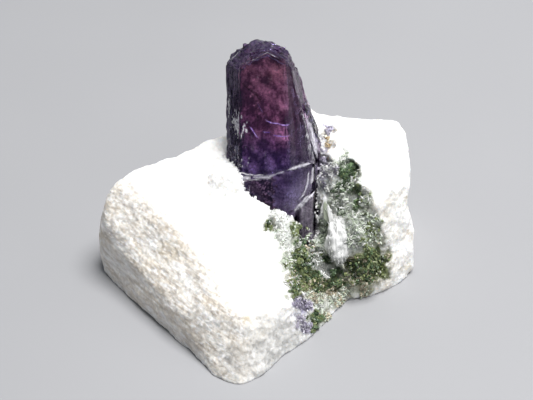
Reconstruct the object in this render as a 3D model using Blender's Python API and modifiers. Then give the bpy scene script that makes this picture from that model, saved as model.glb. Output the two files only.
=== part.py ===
"""A purple scapolite crystal in a block of white marble, with green diopside grains in a hollow at its foot.

Metres, +Z up. The specimen stands on its flat underside, with its origin at the centre of its base.
Its front, with the crystal and the hollow, faces -Y.
"""

import math
import random

import bmesh
import bpy
from mathutils import Euler, Matrix, Vector, noise
from mathutils.bvhtree import BVHTree

MM = 0.001
GAP = 0.3 * MM  # kept between a grain or crystal and the marble round it

# Marble: convex lumps, as corners in millimetres, before the breaks are roughened
LEFT_BLOCK = [
    (-18.7, -0.5, -0.8), (-3.3, -18.0, -0.8), (-1.5, -18.9, -0.8), (1.2, -17.1, -0.8), (2.9, -14.8, -0.8),
    (5.7, -12.3, -0.8), (7.6, -10.0, -0.8), (-19.4, 0.7, 2.5), (-19.4, 1.4, 5.0), (-18.3, 1.4, 8.5),
    (-18.1, 1.3, 11.6), (-17.0, 3.2, 12.3), (-15.4, 4.3, 12.3), (-1.4, -13.6, 6.3), (2.4, -12.4, 5.8),
    (3.9, -10.4, 6.1), (4.0, -5.8, 7.2), (4.2, -1.2, 7.9), (6.0, -9.8, 1.6), (5.6, 0.6, 7.0),
    (-3.4, 6.4, 12.6), (-3.5, 11.2, 12.5), (-16.2, 8.0, -0.8), (-3.5, 16.0, -0.8), (7.5, 18.5, -0.8),
    (5.0, 14.8, 13.8),
]
RIGHT_BLOCK = [
    (6.3, 14.3, 14.4), (7.0, 13.4, 14.2), (9.1, 12.6, 14.1), (12.5, 12.7, 14.3), (18.3, 12.7, 14.2),
    (18.7, 10.7, 13.7), (18.6, 4.4, 13.3), (18.4, 3.2, 12.2), (13.4, -1.7, 12.2), (12.4, 4.2, 13.8),
    (8.5, 6.1, 14.4), (7.9, 3.4, 8.7), (8.6, -0.6, 4.6), (11.6, -4.4, 2.2), (11.3, -5.2, -0.8),
    (13.1, -4.8, -0.8), (14.8, -4.2, -0.8), (16.8, -2.9, -0.8), (18.6, -1.6, -0.8), (19.8, 0.3, 0.5),
    (19.6, 1.2, 2.4), (19.5, 1.9, 4.8), (19.6, 11.5, -0.8), (8.5, 18.8, -0.8), (5.0, 6.0, -0.8),
]
HOLLOW_FLOOR = [
    (7.2, 1.2, 5.6), (9.0, -1.5, 4.2), (9.9, -5.2, 2.2), (8.2, -8.4, 1.0), (8.1, -9.7, -0.8),
    (10.7, -6.3, -0.8), (11.6, -4.9, -0.8), (5.2, -8.0, 1.6), (4.6, -2.0, 5.6), (4.0, 4.0, -0.8),
    (11.6, 4.0, -0.8), (11.0, 0.0, 5.0),
]
LUMPS = [  # rounded swellings of the marble: centre, radii, and how far each leans back in degrees
    ((10.5, -1.1, 7.1), (1.5, 1.3, 2.7), -25),  # a calcite grain in the hollow
    ((-2.7, 4.1, 11.1), (2.2, 2.6, 2.1), 0),  # banked up against the crystal's left side
    ((5.2, 12.9, 13.9), (2.0, 2.0, 3.1), 0),  # and against its back on the right
]
SCOOPS = [  # where a flake has come off, the first one flat and wide: centre and radius in millimetres
    ((-29.5, -31.8, 38.0), 45.0),
    ((22.1, 4.2, 9.2), 4.0),
    ((22.6, 7.0, 6.9), 4.0),
    ((23.1, 9.8, 4.6), 4.0),
    ((-21.1, 0.6, 8.9), 3.3),
    ((-21.2, 0.2, 3.0), 2.5),
]
ROCK_VOXEL = 0.72 * MM
ROCK_WEAR, ROCK_WEAR_ROUNDS = 0.5, 2  # how strongly the edges are worn round
ROCK_GROW = 0.02 * MM  # makes up for the edges lost by wear
ROCK_TRIANGLES = 3300
BROAD_WAVE, BROAD_HEIGHT = 7.0 * MM, 0.35 * MM  # spacing and height of the marble's swells
GRAIN_WAVE, GRAIN_HEIGHT = 1.9 * MM, 0.30 * MM  # of its sugary lumps
GRAIN_LEVEL = 0.25  # the share of a lump that lies below the surface
LEDGE_WAVE, LEDGE_HEIGHT = 1.6 * MM, 0.42 * MM  # of the ledges along the left front break
LEDGE_STRETCH = 5.0  # the ledges are this much longer than they are high
LEFT_BREAK_NORMAL = Vector((-0.75, -0.66, 0.0))
LEFT_BREAK_ALONG = Vector((0.66, -0.75, 0.0))

# Scapolite crystal, in its own frame: +Z along its length, -Y to its broad front face
CRYSTAL_FOOT = Vector((2.0, 4.64, 7.9)) * MM  # on its axis, level with the marble in front
CRYSTAL_LEAN = math.radians(-20)  # it leans back
CRYSTAL_TURN = math.radians(-12)  # about its own axis: the broad face looks a little left
ROOT_DEPTH = 5.5  # millimetres, as are the lengths below
# The sides from the front face round to the left: the way each faces, its distance from the axis low and high
SIDES = [
    (-90, 3.90, 3.90), (-135, 4.84, 4.74), (180, 5.10, 5.00), (135, 4.70, 4.40), (90, 3.90, 3.80),
    (45, 4.90, 2.60), (0, 5.70, 2.80), (-45, 4.79, 4.38),
]
LOW_AT, HIGH_AT = 5.2, 18.4  # the heights of those distances
UPPER_FROM, UPPER_TO = 1.0, 23.0  # the rough lengths, before the crack and the end are cut
LOWER_TO = 6.0
RIB_HEIGHT = 0.13  # growth ribs that run along the sides
RIBS_A_SIDE = 4
CRACK = (21.3, 140, 3.44)  # the healed crack: slope, the way it falls in degrees, height on the axis
LOWER_INSET = 0.28  # the crystal is this much slimmer below the crack
CHIP_POINT, CHIP_NORMAL = Vector((4.08, -3.02, 0.33)), Vector((0.843, -0.233, -0.484))  # low on the right
ROOF_SLOPES = [  # planes that end the crystal: slope, the way it falls in degrees, height on the axis
    (34.9, 214, 20.43), (25.2, -5, 19.5), (3, -90, 19.45), (63, 10, 22.1), (33, 100, 20.7), (38, 150, 21.3),
    (28, 45, 19.45),
]
SIDE_CRYSTAL_ROOT = 0.9  # their depth in the marble, as a share of the large crystal's
SIDE_CRYSTAL_SPARE = 6.0  # their rough length above the top, before it is cut
# Crystals grown along its sides: x, y, radius, top height, slope of the top in degrees, the way it falls
SIDE_CRYSTALS = [
    (4.55, 0.45, 1.42, 11.2, 69, 0),
    (4.70, -1.60, 1.10, 1.0, 48, 180),
    (0.90, 3.10, 1.60, 16.0, 30, 85),
]
ROOF_STEP_HEIGHT = 1.0
ROOF_STEPS = [  # broken growth steps on the end: x, y, length, width, height above the end's plane
    (-2.6, -0.9, 1.6, 0.8, 0.02), (-0.6, 1.0, 1.6, 1.0, 0.06), (0.9, -1.4, 1.4, 0.8, 0.10),
    (-1.2, -2.4, 1.3, 0.6, 0.16), (1.1, 0.4, 1.0, 0.8, 0.00), (-3.1, 0.9, 1.0, 0.7, 0.12),
]

# Crusts of grains. Each lies on the marble below a plane, and its outline is made of circles on that plane
HOLLOW_POINT = Vector((10.0, -2.5, 7.0)) * MM
HOLLOW_NORMAL = Vector((0.02, -0.72, 0.69)).normalized()
TOP_POINT = Vector((4.0, 2.0, 11.0)) * MM
TOP_NORMAL = Vector((0.05, -0.2, 0.98)).normalized()
CRUST_STEP = 0.70  # of a crust's outline, as a share of its grains
CRUST_DEPTH = 0.7 * MM
CRUST_RISE = 0.12 * MM  # of the layer between the grains
CRUST_LOWEST = 0.9 * MM  # a crust ends this far above the underside
CLIP_RISE = 3.0 * MM
CRUST_SPACING = 0.98  # between the middles of its grains, as a share of their size
CRUST_SHARE_OF_BLOCKS = 0.6  # of its grains, the rest are tapered prisms
CRUST_FINENESS = 0.16  # of the crust's surface, as a share of its grains
CRUSTS = [  # name, colour, plane, size of a grain, triangles, circles: across, up the slope, radius
    ("diopside_crust", "green", "hollow", 1.3, 1500, [
        (1.2, 8.7, 1.7), (0.6, 6.6, 1.5), (2.2, 5.6, 1.5), (-0.2, 4.4, 1.4), (3.0, 3.2, 1.7), (4.2, 0.8, 1.7),
        (4.6, -1.6, 1.7), (3.4, -3.4, 2.0), (0.8, -3.2, 2.4), (-1.8, -2.4, 2.4), (-4.2, -1.4, 1.7),
        (-4.2, 0.6, 1.4), (-3.0, -4.2, 1.9), (-0.8, -5.4, 1.9), (-1.6, -7.4, 1.2), (-1.5, 3.9, 0.9),
    ]),
    ("diopside_grain", "green", "top", 0.9, 70, [(-1.9, -4.0, 1.0)]),
    ("scapolite_grains_lower", "violet", "hollow", 0.9, 240, [(-4.8, -6.5, 1.0), (-4.5, -7.9, 1.2)]),
    ("scapolite_grains_upper", "violet", "hollow", 0.9, 200, [(-1.5, 9.7, 1.0), (-1.7, 8.2, 0.9)]),
    ("scapolite_grain_back", "violet", "top", 0.8, 70, [(5.2, 8.8, 0.9)]),
    ("phlogopite_grain", "brown", "top", 0.9, 70, [(4.9, 5.8, 0.9)]),
]


def clear_scene():
    for old in list(bpy.data.objects):
        bpy.data.objects.remove(old, do_unlink=True)


def new_collection(name):
    made = bpy.data.collections.new(name)
    bpy.context.scene.collection.children.link(made)
    return made


def material(name, colour, roughness):
    made = bpy.data.materials.new(name)
    made.use_nodes = True
    shader = made.node_tree.nodes["Principled BSDF"]
    shader.inputs["Base Color"].default_value = (*colour, 1.0)
    shader.inputs["Roughness"].default_value = roughness
    shader.inputs["Metallic"].default_value = 0.0
    return made


def object_from(bm, name, collection, finish=None):
    """Puts bm in a new object and frees it."""
    bmesh.ops.recalc_face_normals(bm, faces=bm.faces)
    bmesh.ops.triangulate(bm, faces=bm.faces)
    mesh = bpy.data.meshes.new(name)
    bm.to_mesh(mesh)
    bm.free()
    made = bpy.data.objects.new(name, mesh)
    collection.objects.link(made)
    if finish:
        mesh.materials.append(finish)
    return made


def helper_from(bm, name, collection):
    made = object_from(bm, name, collection)
    made.hide_render = True
    made.display_type = "WIRE"
    return made


def evaluated_bmesh(source):
    """A bmesh of the object with its modifiers applied."""
    bpy.context.view_layer.update()
    bm = bmesh.new()
    bm.from_object(source, bpy.context.evaluated_depsgraph_get())
    return bm


def boolean(target, cutter, operation):
    modifier = target.modifiers.new(f"{operation} {cutter.name}", "BOOLEAN")
    modifier.operation = operation
    modifier.object = cutter
    modifier.solver = "EXACT"


def cut_flat(bm, point, normal):
    """Cuts away what lies beyond the plane on the normal's side, and closes the cut."""
    geometry = bm.verts[:] + bm.edges[:] + bm.faces[:]
    bmesh.ops.bisect_plane(
        bm, geom=geometry, dist=1e-8, plane_co=point, plane_no=normal, clear_outer=True
    )
    rim = [e for e in bm.edges if e.is_boundary]
    bmesh.ops.holes_fill(bm, edges=rim, sides=0)


# Marble


def add_hull(bm, corners):
    verts = [bm.verts.new(Vector(corner) * MM) for corner in corners]
    result = bmesh.ops.convex_hull(bm, input=verts)
    unused = [v for v in result["geom_interior"] if isinstance(v, bmesh.types.BMVert)]
    bmesh.ops.delete(bm, geom=unused, context="VERTS")


def rough_block(collection):
    """The lumps as one stone with worn edges."""
    bm = bmesh.new()
    for corners in (LEFT_BLOCK, RIGHT_BLOCK, HOLLOW_FLOOR):
        add_hull(bm, corners)
    for centre, radii, lean in LUMPS:
        turn = Euler((math.radians(lean), 0, 0))
        place = Matrix.LocRotScale(Vector(centre) * MM, turn, Vector(radii) * MM)
        bmesh.ops.create_icosphere(bm, subdivisions=3, radius=1.0, matrix=place)
    block = helper_from(bm, "rough_block", collection)
    remesh = block.modifiers.new("one stone", "REMESH")
    remesh.mode = "VOXEL"
    remesh.voxel_size = ROCK_VOXEL
    smooth = block.modifiers.new("worn edges", "SMOOTH")
    smooth.factor = ROCK_WEAR
    smooth.iterations = ROCK_WEAR_ROUNDS
    return block


def break_height(point, normal):
    """How far the broken surface stands out at a point, from broad swells down to sugary lumps."""
    height = ROCK_GROW + BROAD_HEIGHT * noise.fractal(point / BROAD_WAVE, 1.0, 2.0, 3)
    cell = noise.voronoi(point / GRAIN_WAVE)[0]
    height += GRAIN_HEIGHT * (cell[1] - cell[0] - GRAIN_LEVEL)
    left_share = max(0.0, normal.dot(LEFT_BREAK_NORMAL)) ** 2
    along = point.dot(LEFT_BREAK_ALONG) / LEDGE_STRETCH
    stretched = Vector((along, point.dot(LEFT_BREAK_NORMAL), point.z)) / LEDGE_WAVE
    return height + left_share * LEDGE_HEIGHT * noise.fractal(stretched, 0.8, 2.1, 3)


def scooped(point):
    """The point, moved out of the hollows left by flakes."""
    for centre, radius in SCOOPS:
        middle = Vector(centre) * MM
        away = point - middle
        if away.length < radius * MM:
            point = middle + away.normalized() * radius * MM
    return point


def marble_block(collection, helpers, finish):
    """The stone with its breaks roughened and its underside cut flat."""
    bm = evaluated_bmesh(rough_block(helpers))
    bm.normal_update()
    moves = [(v, scooped(v.co) + v.normal * break_height(v.co, v.normal)) for v in bm.verts]
    for vert, place in moves:
        vert.co = place
    triangles = sum(len(f.verts) - 2 for f in bm.faces)
    rough = helper_from(bm, "rough_breaks", helpers)
    thin = rough.modifiers.new("fewer faces", "DECIMATE")
    thin.ratio = min(1.0, ROCK_TRIANGLES / triangles)
    bm = evaluated_bmesh(rough)
    cut_flat(bm, Vector((0, 0, 0)), Vector((0, 0, -1)))
    surface = BVHTree.FromBMesh(bm)
    return object_from(bm, "marble_matrix", collection, finish), surface


# Scapolite crystal


def distance_at(low, high, height):
    share = max(0.0, (height - LOW_AT) / (HIGH_AT - LOW_AT))
    return low + (high - low) * share


def side_corners(sides):
    """The corners where neighbouring sides meet, in order. sides holds pairs of an angle and a distance."""
    corners = []
    for (angle_a, out_a), (angle_b, out_b) in zip(sides, sides[1:] + sides[:1]):
        a, b = math.radians(angle_a), math.radians(angle_b)
        x = out_a * math.sin(b) - out_b * math.sin(a)
        y = out_b * math.cos(a) - out_a * math.cos(b)
        corners.append(Vector((x, y, 0)) / math.sin(b - a))
    return corners


def ribbed(corners, ribs):
    """The outline with each side broken by ribs. ribs holds, for each side, pairs of a share and a depth."""
    points = []
    sides = zip(corners, corners[1:] + corners[:1], ribs)
    for start, end, breaks in sides:
        along = end - start
        inward = Vector((along.y, -along.x, 0)).normalized()
        points.append(start)
        points.extend(start + along * share + inward * depth for share, depth in breaks)
    return points


def random_ribs(rng, sides, count, height):
    ribs = []
    for _ in range(sides):
        shares = sorted((n + rng.uniform(0.2, 0.8)) / count for n in range(count))
        ribs.append([(share, rng.uniform(0.15, 1.0) * height) for share in shares])
    return ribs


def loft(outline_at, heights):
    """A solid through the outlines at those heights, in millimetres. Each outline has as many points."""
    bm = bmesh.new()
    first = [Vector((p.x, p.y, heights[0])) * MM for p in outline_at(heights[0])]
    face = bm.faces.new([bm.verts.new(p) for p in first])
    for n, height in enumerate(heights[1:]):
        before = list(face.verts)
        grown = bmesh.ops.extrude_face_region(bm, geom=[face])["geom"]
        if n:
            bmesh.ops.delete(bm, geom=[face], context="FACES_ONLY")
        face = next(g for g in grown if isinstance(g, bmesh.types.BMFace))
        places = [Vector((p.x, p.y, height)) * MM for p in outline_at(height)]
        olds = [Vector((p.x, p.y, heights[n])) * MM for p in outline_at(heights[n])]
        for vert in face.verts:
            nearest = min(range(len(olds)), key=lambda k: (olds[k] - vert.co).length_squared)
            vert.co = places[nearest]
    bmesh.ops.recalc_face_normals(bm, faces=bm.faces)
    return bm


def falling_plane(slope, way, height):
    """The point and normal of a plane that crosses the axis at height and falls that way, in degrees."""
    slope, way = math.radians(slope), math.radians(way)
    normal = Vector((math.sin(slope) * math.cos(way), math.sin(slope) * math.sin(way), math.cos(slope)))
    return Vector((0, 0, height * MM)), normal


def side_crystal(x, y, radius, top, slope, way, grow, rng, ribs):
    spin = rng.uniform(-12, 12)
    sides = [(angle + spin, radius * rng.uniform(0.88, 1.0) + grow) for angle in range(-90, -450, -60)]
    breaks = random_ribs(rng, len(sides), ribs, RIB_HEIGHT * 0.5)
    outline = ribbed(side_corners(sides), breaks)
    bm = loft(lambda height: outline, [-ROOT_DEPTH * SIDE_CRYSTAL_ROOT - grow, top + SIDE_CRYSTAL_SPARE])
    if not grow:
        cut_flat(bm, *falling_plane(slope, way, top))
    bmesh.ops.translate(bm, verts=bm.verts, vec=(x * MM, y * MM, 0))
    return bm


def crystal_body(name, collection, helpers, place, grow, finish=None):
    """The crystal, or with grow the hole it needs in the marble: plain sides that far out from its own."""
    rng = random.Random(11)
    ribs = 0 if grow else RIBS_A_SIDE
    breaks = random_ribs(rng, len(SIDES), ribs, RIB_HEIGHT)
    upper_from = -ROOT_DEPTH - grow if grow else UPPER_FROM

    def upper_outline(height):
        sides = [(angle, distance_at(low, high, height) + grow) for angle, low, high in SIDES]
        return ribbed(side_corners(sides), breaks)

    def lower_outline(height):
        sides = [(angle, low - LOWER_INSET) for angle, low, high in SIDES]
        return ribbed(side_corners(sides), breaks)

    upper = loft(upper_outline, [upper_from, LOW_AT, HIGH_AT, UPPER_TO])
    pieces = []
    if not grow:
        lower = loft(lower_outline, [-ROOT_DEPTH, LOWER_TO])
        point, normal = falling_plane(*CRACK)
        cut_flat(upper, point, -normal)
        for roof in ROOF_SLOPES:
            cut_flat(upper, *falling_plane(*roof))
        cut_flat(lower, CHIP_POINT * MM, CHIP_NORMAL)
        pieces.append(lower)
        pieces.extend(roof_step(step, rng) for step in ROOF_STEPS)
    pieces.extend(side_crystal(*numbers, grow, rng, ribs // 2) for numbers in SIDE_CRYSTALS)
    for piece in [upper, *pieces]:
        bmesh.ops.transform(piece, matrix=place, verts=piece.verts)
    body = object_from(upper, name, collection, finish)
    for n, piece in enumerate(pieces):
        boolean(body, helper_from(piece, f"{name}_piece_{n}", helpers), "UNION")
    return body


def roof_height(x, y):
    """The height of the crystal's end above a point of its cross section, in millimetres."""
    heights = []
    for slope, way, height in ROOF_SLOPES:
        toward = x * math.cos(math.radians(way)) + y * math.sin(math.radians(way))
        heights.append(height - math.tan(math.radians(slope)) * toward)
    return min(heights)


def roof_step(step, rng):
    x, y, length, width, rise = step
    bm = bmesh.new()
    bmesh.ops.create_cube(bm, size=MM)
    turn = Euler((rng.uniform(-0.25, 0.25), rng.uniform(-0.35, 0.1), rng.uniform(-0.5, 0.5)))
    height = roof_height(x, y) - ROOF_STEP_HEIGHT / 2 + rise
    place = Matrix.LocRotScale(Vector((x, y, height)) * MM, turn, Vector((length, width, ROOF_STEP_HEIGHT)))
    bmesh.ops.transform(bm, matrix=place, verts=bm.verts)
    return bm


# Crusts of grains


def plane_frame(point, normal):
    """A matrix whose Z is the normal, X across and Y up the slope."""
    across = Vector((1, 0, 0)) - normal * normal.x
    across.normalize()
    up = normal.cross(across)
    frame = Matrix((across, up, normal)).transposed().to_4x4()
    frame.translation = point
    return frame


def ground_under(spot, frame, surface):
    """Where the marble is below a spot of the plane, or None past its edge."""
    normal = frame.to_3x3().col[2]
    hit = surface.ray_cast(frame @ spot + normal * 20 * MM, -normal)[0]
    return hit if hit and hit.z > CRUST_LOWEST else None


def footprint(circles, step, frame, surface):
    """A flat mesh that covers the circles, in the plane's own frame, with its stepped rim smoothed."""
    left = min(x - r for x, y, r in circles) * MM
    right = max(x + r for x, y, r in circles) * MM
    low = min(y - r for x, y, r in circles) * MM
    high = max(y + r for x, y, r in circles) * MM
    columns, rows = math.ceil((right - left) / step), math.ceil((high - low) / step)
    bm = bmesh.new()
    bmesh.ops.create_grid(bm, x_segments=columns, y_segments=rows, size=0.5)
    size = Vector((columns * step, rows * step, 1))
    bmesh.ops.scale(bm, vec=size, verts=bm.verts)
    bmesh.ops.translate(bm, vec=((left + right) / 2, (low + high) / 2, 0), verts=bm.verts)

    def outside(face):
        spot = face.calc_center_median()
        near = any((spot.x - x * MM) ** 2 + (spot.y - y * MM) ** 2 < (r * MM) ** 2 for x, y, r in circles)
        return not near or any(ground_under(v.co, frame, surface) is None for v in face.verts)

    away = [f for f in bm.faces if outside(f)]
    bmesh.ops.delete(bm, geom=away, context="FACES")
    for _ in range(2):
        rim = [v for v in bm.verts if v.is_boundary]
        bmesh.ops.smooth_vert(bm, verts=rim, factor=0.5, use_axis_x=True, use_axis_y=True)
    bmesh.ops.remove_doubles(bm, verts=bm.verts, dist=0.05 * MM)
    return bm


def inset(bm, by):
    """Draws the rim of a flat mesh in."""
    rim_faces = bmesh.ops.inset_region(bm, faces=bm.faces[:], thickness=by, use_even_offset=True)["faces"]
    bmesh.ops.delete(bm, geom=rim_faces, context="FACES")


def on_marble(bm, frame, surface, below, above):
    """Lays a flat mesh on the marble and makes it a solid, from below the surface to above it."""
    normal = frame.to_3x3().col[2]
    for vert in bm.verts:
        vert.co = ground_under(vert.co, frame, surface) - normal * below
    top = bmesh.ops.extrude_face_region(bm, geom=bm.faces[:])["geom"]
    top = [g for g in top if isinstance(g, bmesh.types.BMVert)]
    bmesh.ops.translate(bm, vec=normal * (below + above), verts=top)
    bmesh.ops.recalc_face_normals(bm, faces=bm.faces)


def add_grain(bm, rng, spot, size, normal):
    """A small crystal with flat faces, partly sunk in what it grows from."""
    turn = Euler([rng.uniform(-math.pi, math.pi) for _ in range(3)])
    shape = Vector((rng.uniform(0.75, 1.1), rng.uniform(0.75, 1.1), rng.uniform(0.9, 1.5))) * size
    place = Matrix.LocRotScale(spot + normal * size * rng.uniform(-0.1, 0.2), turn, shape)
    if rng.random() < CRUST_SHARE_OF_BLOCKS:
        bmesh.ops.create_cube(bm, size=1.0, matrix=place)
    else:
        bmesh.ops.create_cone(
            bm, cap_ends=True, segments=5, radius1=0.6, radius2=0.38, depth=1.0, matrix=place
        )


def crust(name, circles, frame, size, triangles, seed, surface, collection, helpers, finish):
    """A crust of grains set in the marble. Returns it with the helper that cuts its bed."""
    rng = random.Random(seed)
    normal = frame.to_3x3().col[2]
    spacing = size * CRUST_SPACING
    bed = footprint(circles, size * CRUST_STEP, frame, surface)
    layer = bed.copy()
    clip = bed.copy()
    inset(clip, GAP)
    sites = []
    for vert in clip.verts:
        spot = ground_under(vert.co, frame, surface)
        if all((spot - other).length > spacing for other in sites):
            sites.append(spot)
    on_marble(bed, frame, surface, CRUST_DEPTH + GAP, CLIP_RISE * 2)
    on_marble(clip, frame, surface, CRUST_DEPTH, CLIP_RISE)
    on_marble(layer, frame, surface, CRUST_DEPTH + GAP, CRUST_RISE)
    for spot in sites:
        add_grain(layer, rng, spot, size * rng.uniform(0.7, 1.15), normal)
    fused = helper_from(layer, f"{name}_grains", helpers)
    remesh = fused.modifiers.new("one crust", "REMESH")
    remesh.mode = "VOXEL"
    remesh.voxel_size = size * CRUST_FINENESS
    rough = evaluated_bmesh(fused)
    count = sum(len(f.verts) - 2 for f in rough.faces)
    body = object_from(rough, name, collection, finish)
    thin = body.modifiers.new("fewer faces", "DECIMATE")
    thin.ratio = min(1.0, triangles / count)
    boolean(body, helper_from(clip, f"{name}_clip", helpers), "INTERSECT")
    return body, helper_from(bed, f"{name}_bed", helpers)


def set_on_base(objects, parts):
    """Moves everything so that the middle of the parts' base is the origin."""
    bpy.context.view_layer.update()
    low, high = Vector((math.inf,) * 3), Vector((-math.inf,) * 3)
    for part in parts:
        bm = evaluated_bmesh(part)
        for vert in bm.verts:
            low = Vector(map(min, low, vert.co))
            high = Vector(map(max, high, vert.co))
        bm.free()
    shift = Vector(((low.x + high.x) / 2, (low.y + high.y) / 2, low.z))
    for item in objects:
        item.location -= shift


def main():
    clear_scene()
    parts = new_collection("scapolite_specimen")
    helpers = new_collection("helpers")
    marble = material("marble", (0.86, 0.84, 0.80), 0.6)
    scapolite = material("scapolite", (0.12, 0.05, 0.20), 0.15)
    violet = material("granular_scapolite", (0.45, 0.38, 0.62), 0.4)
    diopside = material("diopside", (0.10, 0.19, 0.08), 0.35)
    phlogopite = material("phlogopite", (0.42, 0.24, 0.08), 0.35)

    block, surface = marble_block(parts, helpers, marble)
    stand = Euler((CRYSTAL_LEAN, 0, 0)).to_matrix() @ Matrix.Rotation(CRYSTAL_TURN, 3, "Z")
    place = Matrix.Translation(CRYSTAL_FOOT) @ stand.to_4x4()
    crystal_body("scapolite_crystal", parts, helpers, place, 0.0, scapolite)
    socket = crystal_body("crystal_socket", helpers, helpers, place, GAP / MM)
    socket.hide_render = True
    socket.display_type = "WIRE"

    hollow = plane_frame(HOLLOW_POINT, HOLLOW_NORMAL)
    top = plane_frame(TOP_POINT, TOP_NORMAL)
    finishes = {"green": diopside, "violet": violet, "brown": phlogopite}
    frames = {"hollow": hollow, "top": top}
    for seed, (name, colour, plane, size, triangles, circles) in enumerate(CRUSTS):
        frame = frames[plane]
        finish = finishes[colour]
        body, bed = crust(name, circles, frame, size * MM, triangles, seed, surface, parts, helpers, finish)
        boolean(body, socket, "DIFFERENCE")
        boolean(block, bed, "DIFFERENCE")
    boolean(block, socket, "DIFFERENCE")
    set_on_base([*parts.objects, *helpers.objects], parts.objects)


main()
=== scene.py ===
"""The looks of the scapolite specimen: sugary marble, a clear purple crystal and a crust of green grains."""
import math
import random

import bmesh
import bpy
import numpy as np
from mathutils import Euler, Matrix, Vector, noise
from mathutils.bvhtree import BVHTree
from mathutils.kdtree import KDTree


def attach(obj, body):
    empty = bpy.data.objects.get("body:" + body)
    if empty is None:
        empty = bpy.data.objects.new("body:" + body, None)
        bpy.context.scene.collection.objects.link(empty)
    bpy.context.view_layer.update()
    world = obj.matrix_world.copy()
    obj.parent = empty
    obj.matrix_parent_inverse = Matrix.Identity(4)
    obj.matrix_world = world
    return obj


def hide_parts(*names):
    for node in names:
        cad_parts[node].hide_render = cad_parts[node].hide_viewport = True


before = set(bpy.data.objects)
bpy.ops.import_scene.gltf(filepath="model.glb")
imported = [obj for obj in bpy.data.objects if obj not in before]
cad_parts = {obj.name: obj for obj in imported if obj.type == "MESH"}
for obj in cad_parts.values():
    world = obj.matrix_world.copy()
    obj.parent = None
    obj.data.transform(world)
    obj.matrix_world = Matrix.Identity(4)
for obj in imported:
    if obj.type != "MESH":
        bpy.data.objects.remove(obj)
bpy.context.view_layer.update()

MM = 0.001

# Camera, as in the photograph of 533 by 400 pixels
PICTURE_WIDTH, PICTURE_HEIGHT = 533, 400
LENS, SENSOR = 75.0, 36.0
CAMERA_RISE = math.radians(40)
CAMERA_DISTANCE = 148 * MM
LOOK_AT = Vector((1.194, 13.916, 0.0)) * MM

# The crystal's own frame: +Z along its length, -Y to its broad front face
CRYSTAL_FOOT = Vector((1.694, 4.556, 7.9)) * MM
CRYSTAL_LEAN = math.radians(-20)
CRYSTAL_TURN = math.radians(-12)
CRYSTAL_STAND = Euler((CRYSTAL_LEAN, 0, 0)).to_matrix() @ Matrix.Rotation(CRYSTAL_TURN, 3, "Z")
CRYSTAL_PLACE = Matrix.Translation(CRYSTAL_FOOT) @ CRYSTAL_STAND.to_4x4()
TO_OWN = Matrix.Scale(1 / MM, 4) @ CRYSTAL_PLACE.inverted()
INWARD = CRYSTAL_STAND @ Vector((0, 1, 0))  # from its front
IN_FRONT, ABOVE = -14.0, 30.0  # millimetres, where rays at its front and at its end start
CRACK_SLOPE, CRACK_WAY, CRACK_HEIGHT = math.radians(21.3), math.radians(140), 3.44

# Marble
STONE_VOXEL = 0.22 * MM
STONE_WEAR = 8  # rounds of smoothing
BED_FILL = 0.35 * MM  # how far the crusts' beds are filled
SUGAR_SIZE = 0.62 * MM  # of the marble's grains
SUGAR_TILT = 0.26  # how steeply a grain's face is tilted
SUGAR_GROOVE, GROOVE_WIDTH = 0.45, 0.16  # between the grains, as shares of their size
SUGAR_SHARE, SUGAR_MORE = 0.35, 0.20  # how much of this relief shows, and what the break and the corner with painted shade add
FINE_SIZE, FINE_HEIGHT = 0.42 * MM, 0.07 * MM
CRUST_SIZE, CRUST_HEIGHT = 0.7 * MM, 0.20 * MM  # of the ground between the crust's grains
LEDGE_SIZE, LEDGE_HEIGHT, LEDGE_STRETCH = 0.55 * MM, 0.06 * MM, 6.0  # drawn out along the left front break
LUMPS_SIZE, LUMPS_HEIGHT = 1.7 * MM, 0.16 * MM
LUMPS_LACK = 0.6  # the share of the lumps' height that the left front break lacks
SOFT_ROUNDS = 70  # of smoothing on the left front break and on the hollow's right rim
SOFT_SPREAD = 50  # rounds over which the smoothed places fade out
SOFT_STEP, SOFT_GAIN = 0.5, 1.5  # how far a round goes, and how soon the smoothing is whole
SOFT_ABOVE = 1.6 * MM  # it is whole from this height up
SOFT_CLEAR, SOFT_FADE = 1.0 * MM, 1.5 * MM  # none this near the crystal, and whole this much further out
SOFT_SPOTS = [  # pixel and radius in pixels
    ((376, 200), 13), ((380, 222), 13), ((384, 245), 12), ((386, 188), 12), ((396, 178), 12),
    ((404, 168), 12),
]
LEFT_BREAK = Vector((-0.75, -0.66, 0.0))  # the way the left front break faces
LEFT_ALONG = Vector((0.66, -0.75, 0.0))
BREAK_FROM = 7 * MM  # how far out that way the break begins
BREAK_FACING, BREAK_GAIN = 0.12, 4  # how far a place faces that way at least, and how soon it belongs to it
UNDERSIDE_FLAT = 0.4 * MM  # below this height the relief fades out
SOCKET_REACH = 0.9 * MM  # the marble is drawn up to the crystal within this distance
SOCKET_GAP, SOCKET_LEFT = 0.3 * MM, 0.04 * MM  # the gap in the CAD model, and what is left of it
# The relief where the marble breaks off at the crystal
RAGGED_REACH, RAGGED_HEIGHT, RAGGED_SIZE = 1.5 * MM, 0.35 * MM, 0.75 * MM
BURIED = -0.5  # the crystal is under the marble where it lies this far down, as a share of its distance
HEAP_PIXEL, HEAP_REACH, HEAP_HEIGHT = (227, 171), 7.0 * MM, 0.95 * MM  # on the crystal's left
GROUND_WINDOW = (255, 395), (110, 340)  # the pixels across and down that hold the coloured ground
GROUND_EDGE = 2.6  # how sharply it ends
VIEW_SLACK, GROUND_SLACK = 0.8 * MM, 1.5 * MM  # what may lie in front of a place that the camera sees

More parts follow.
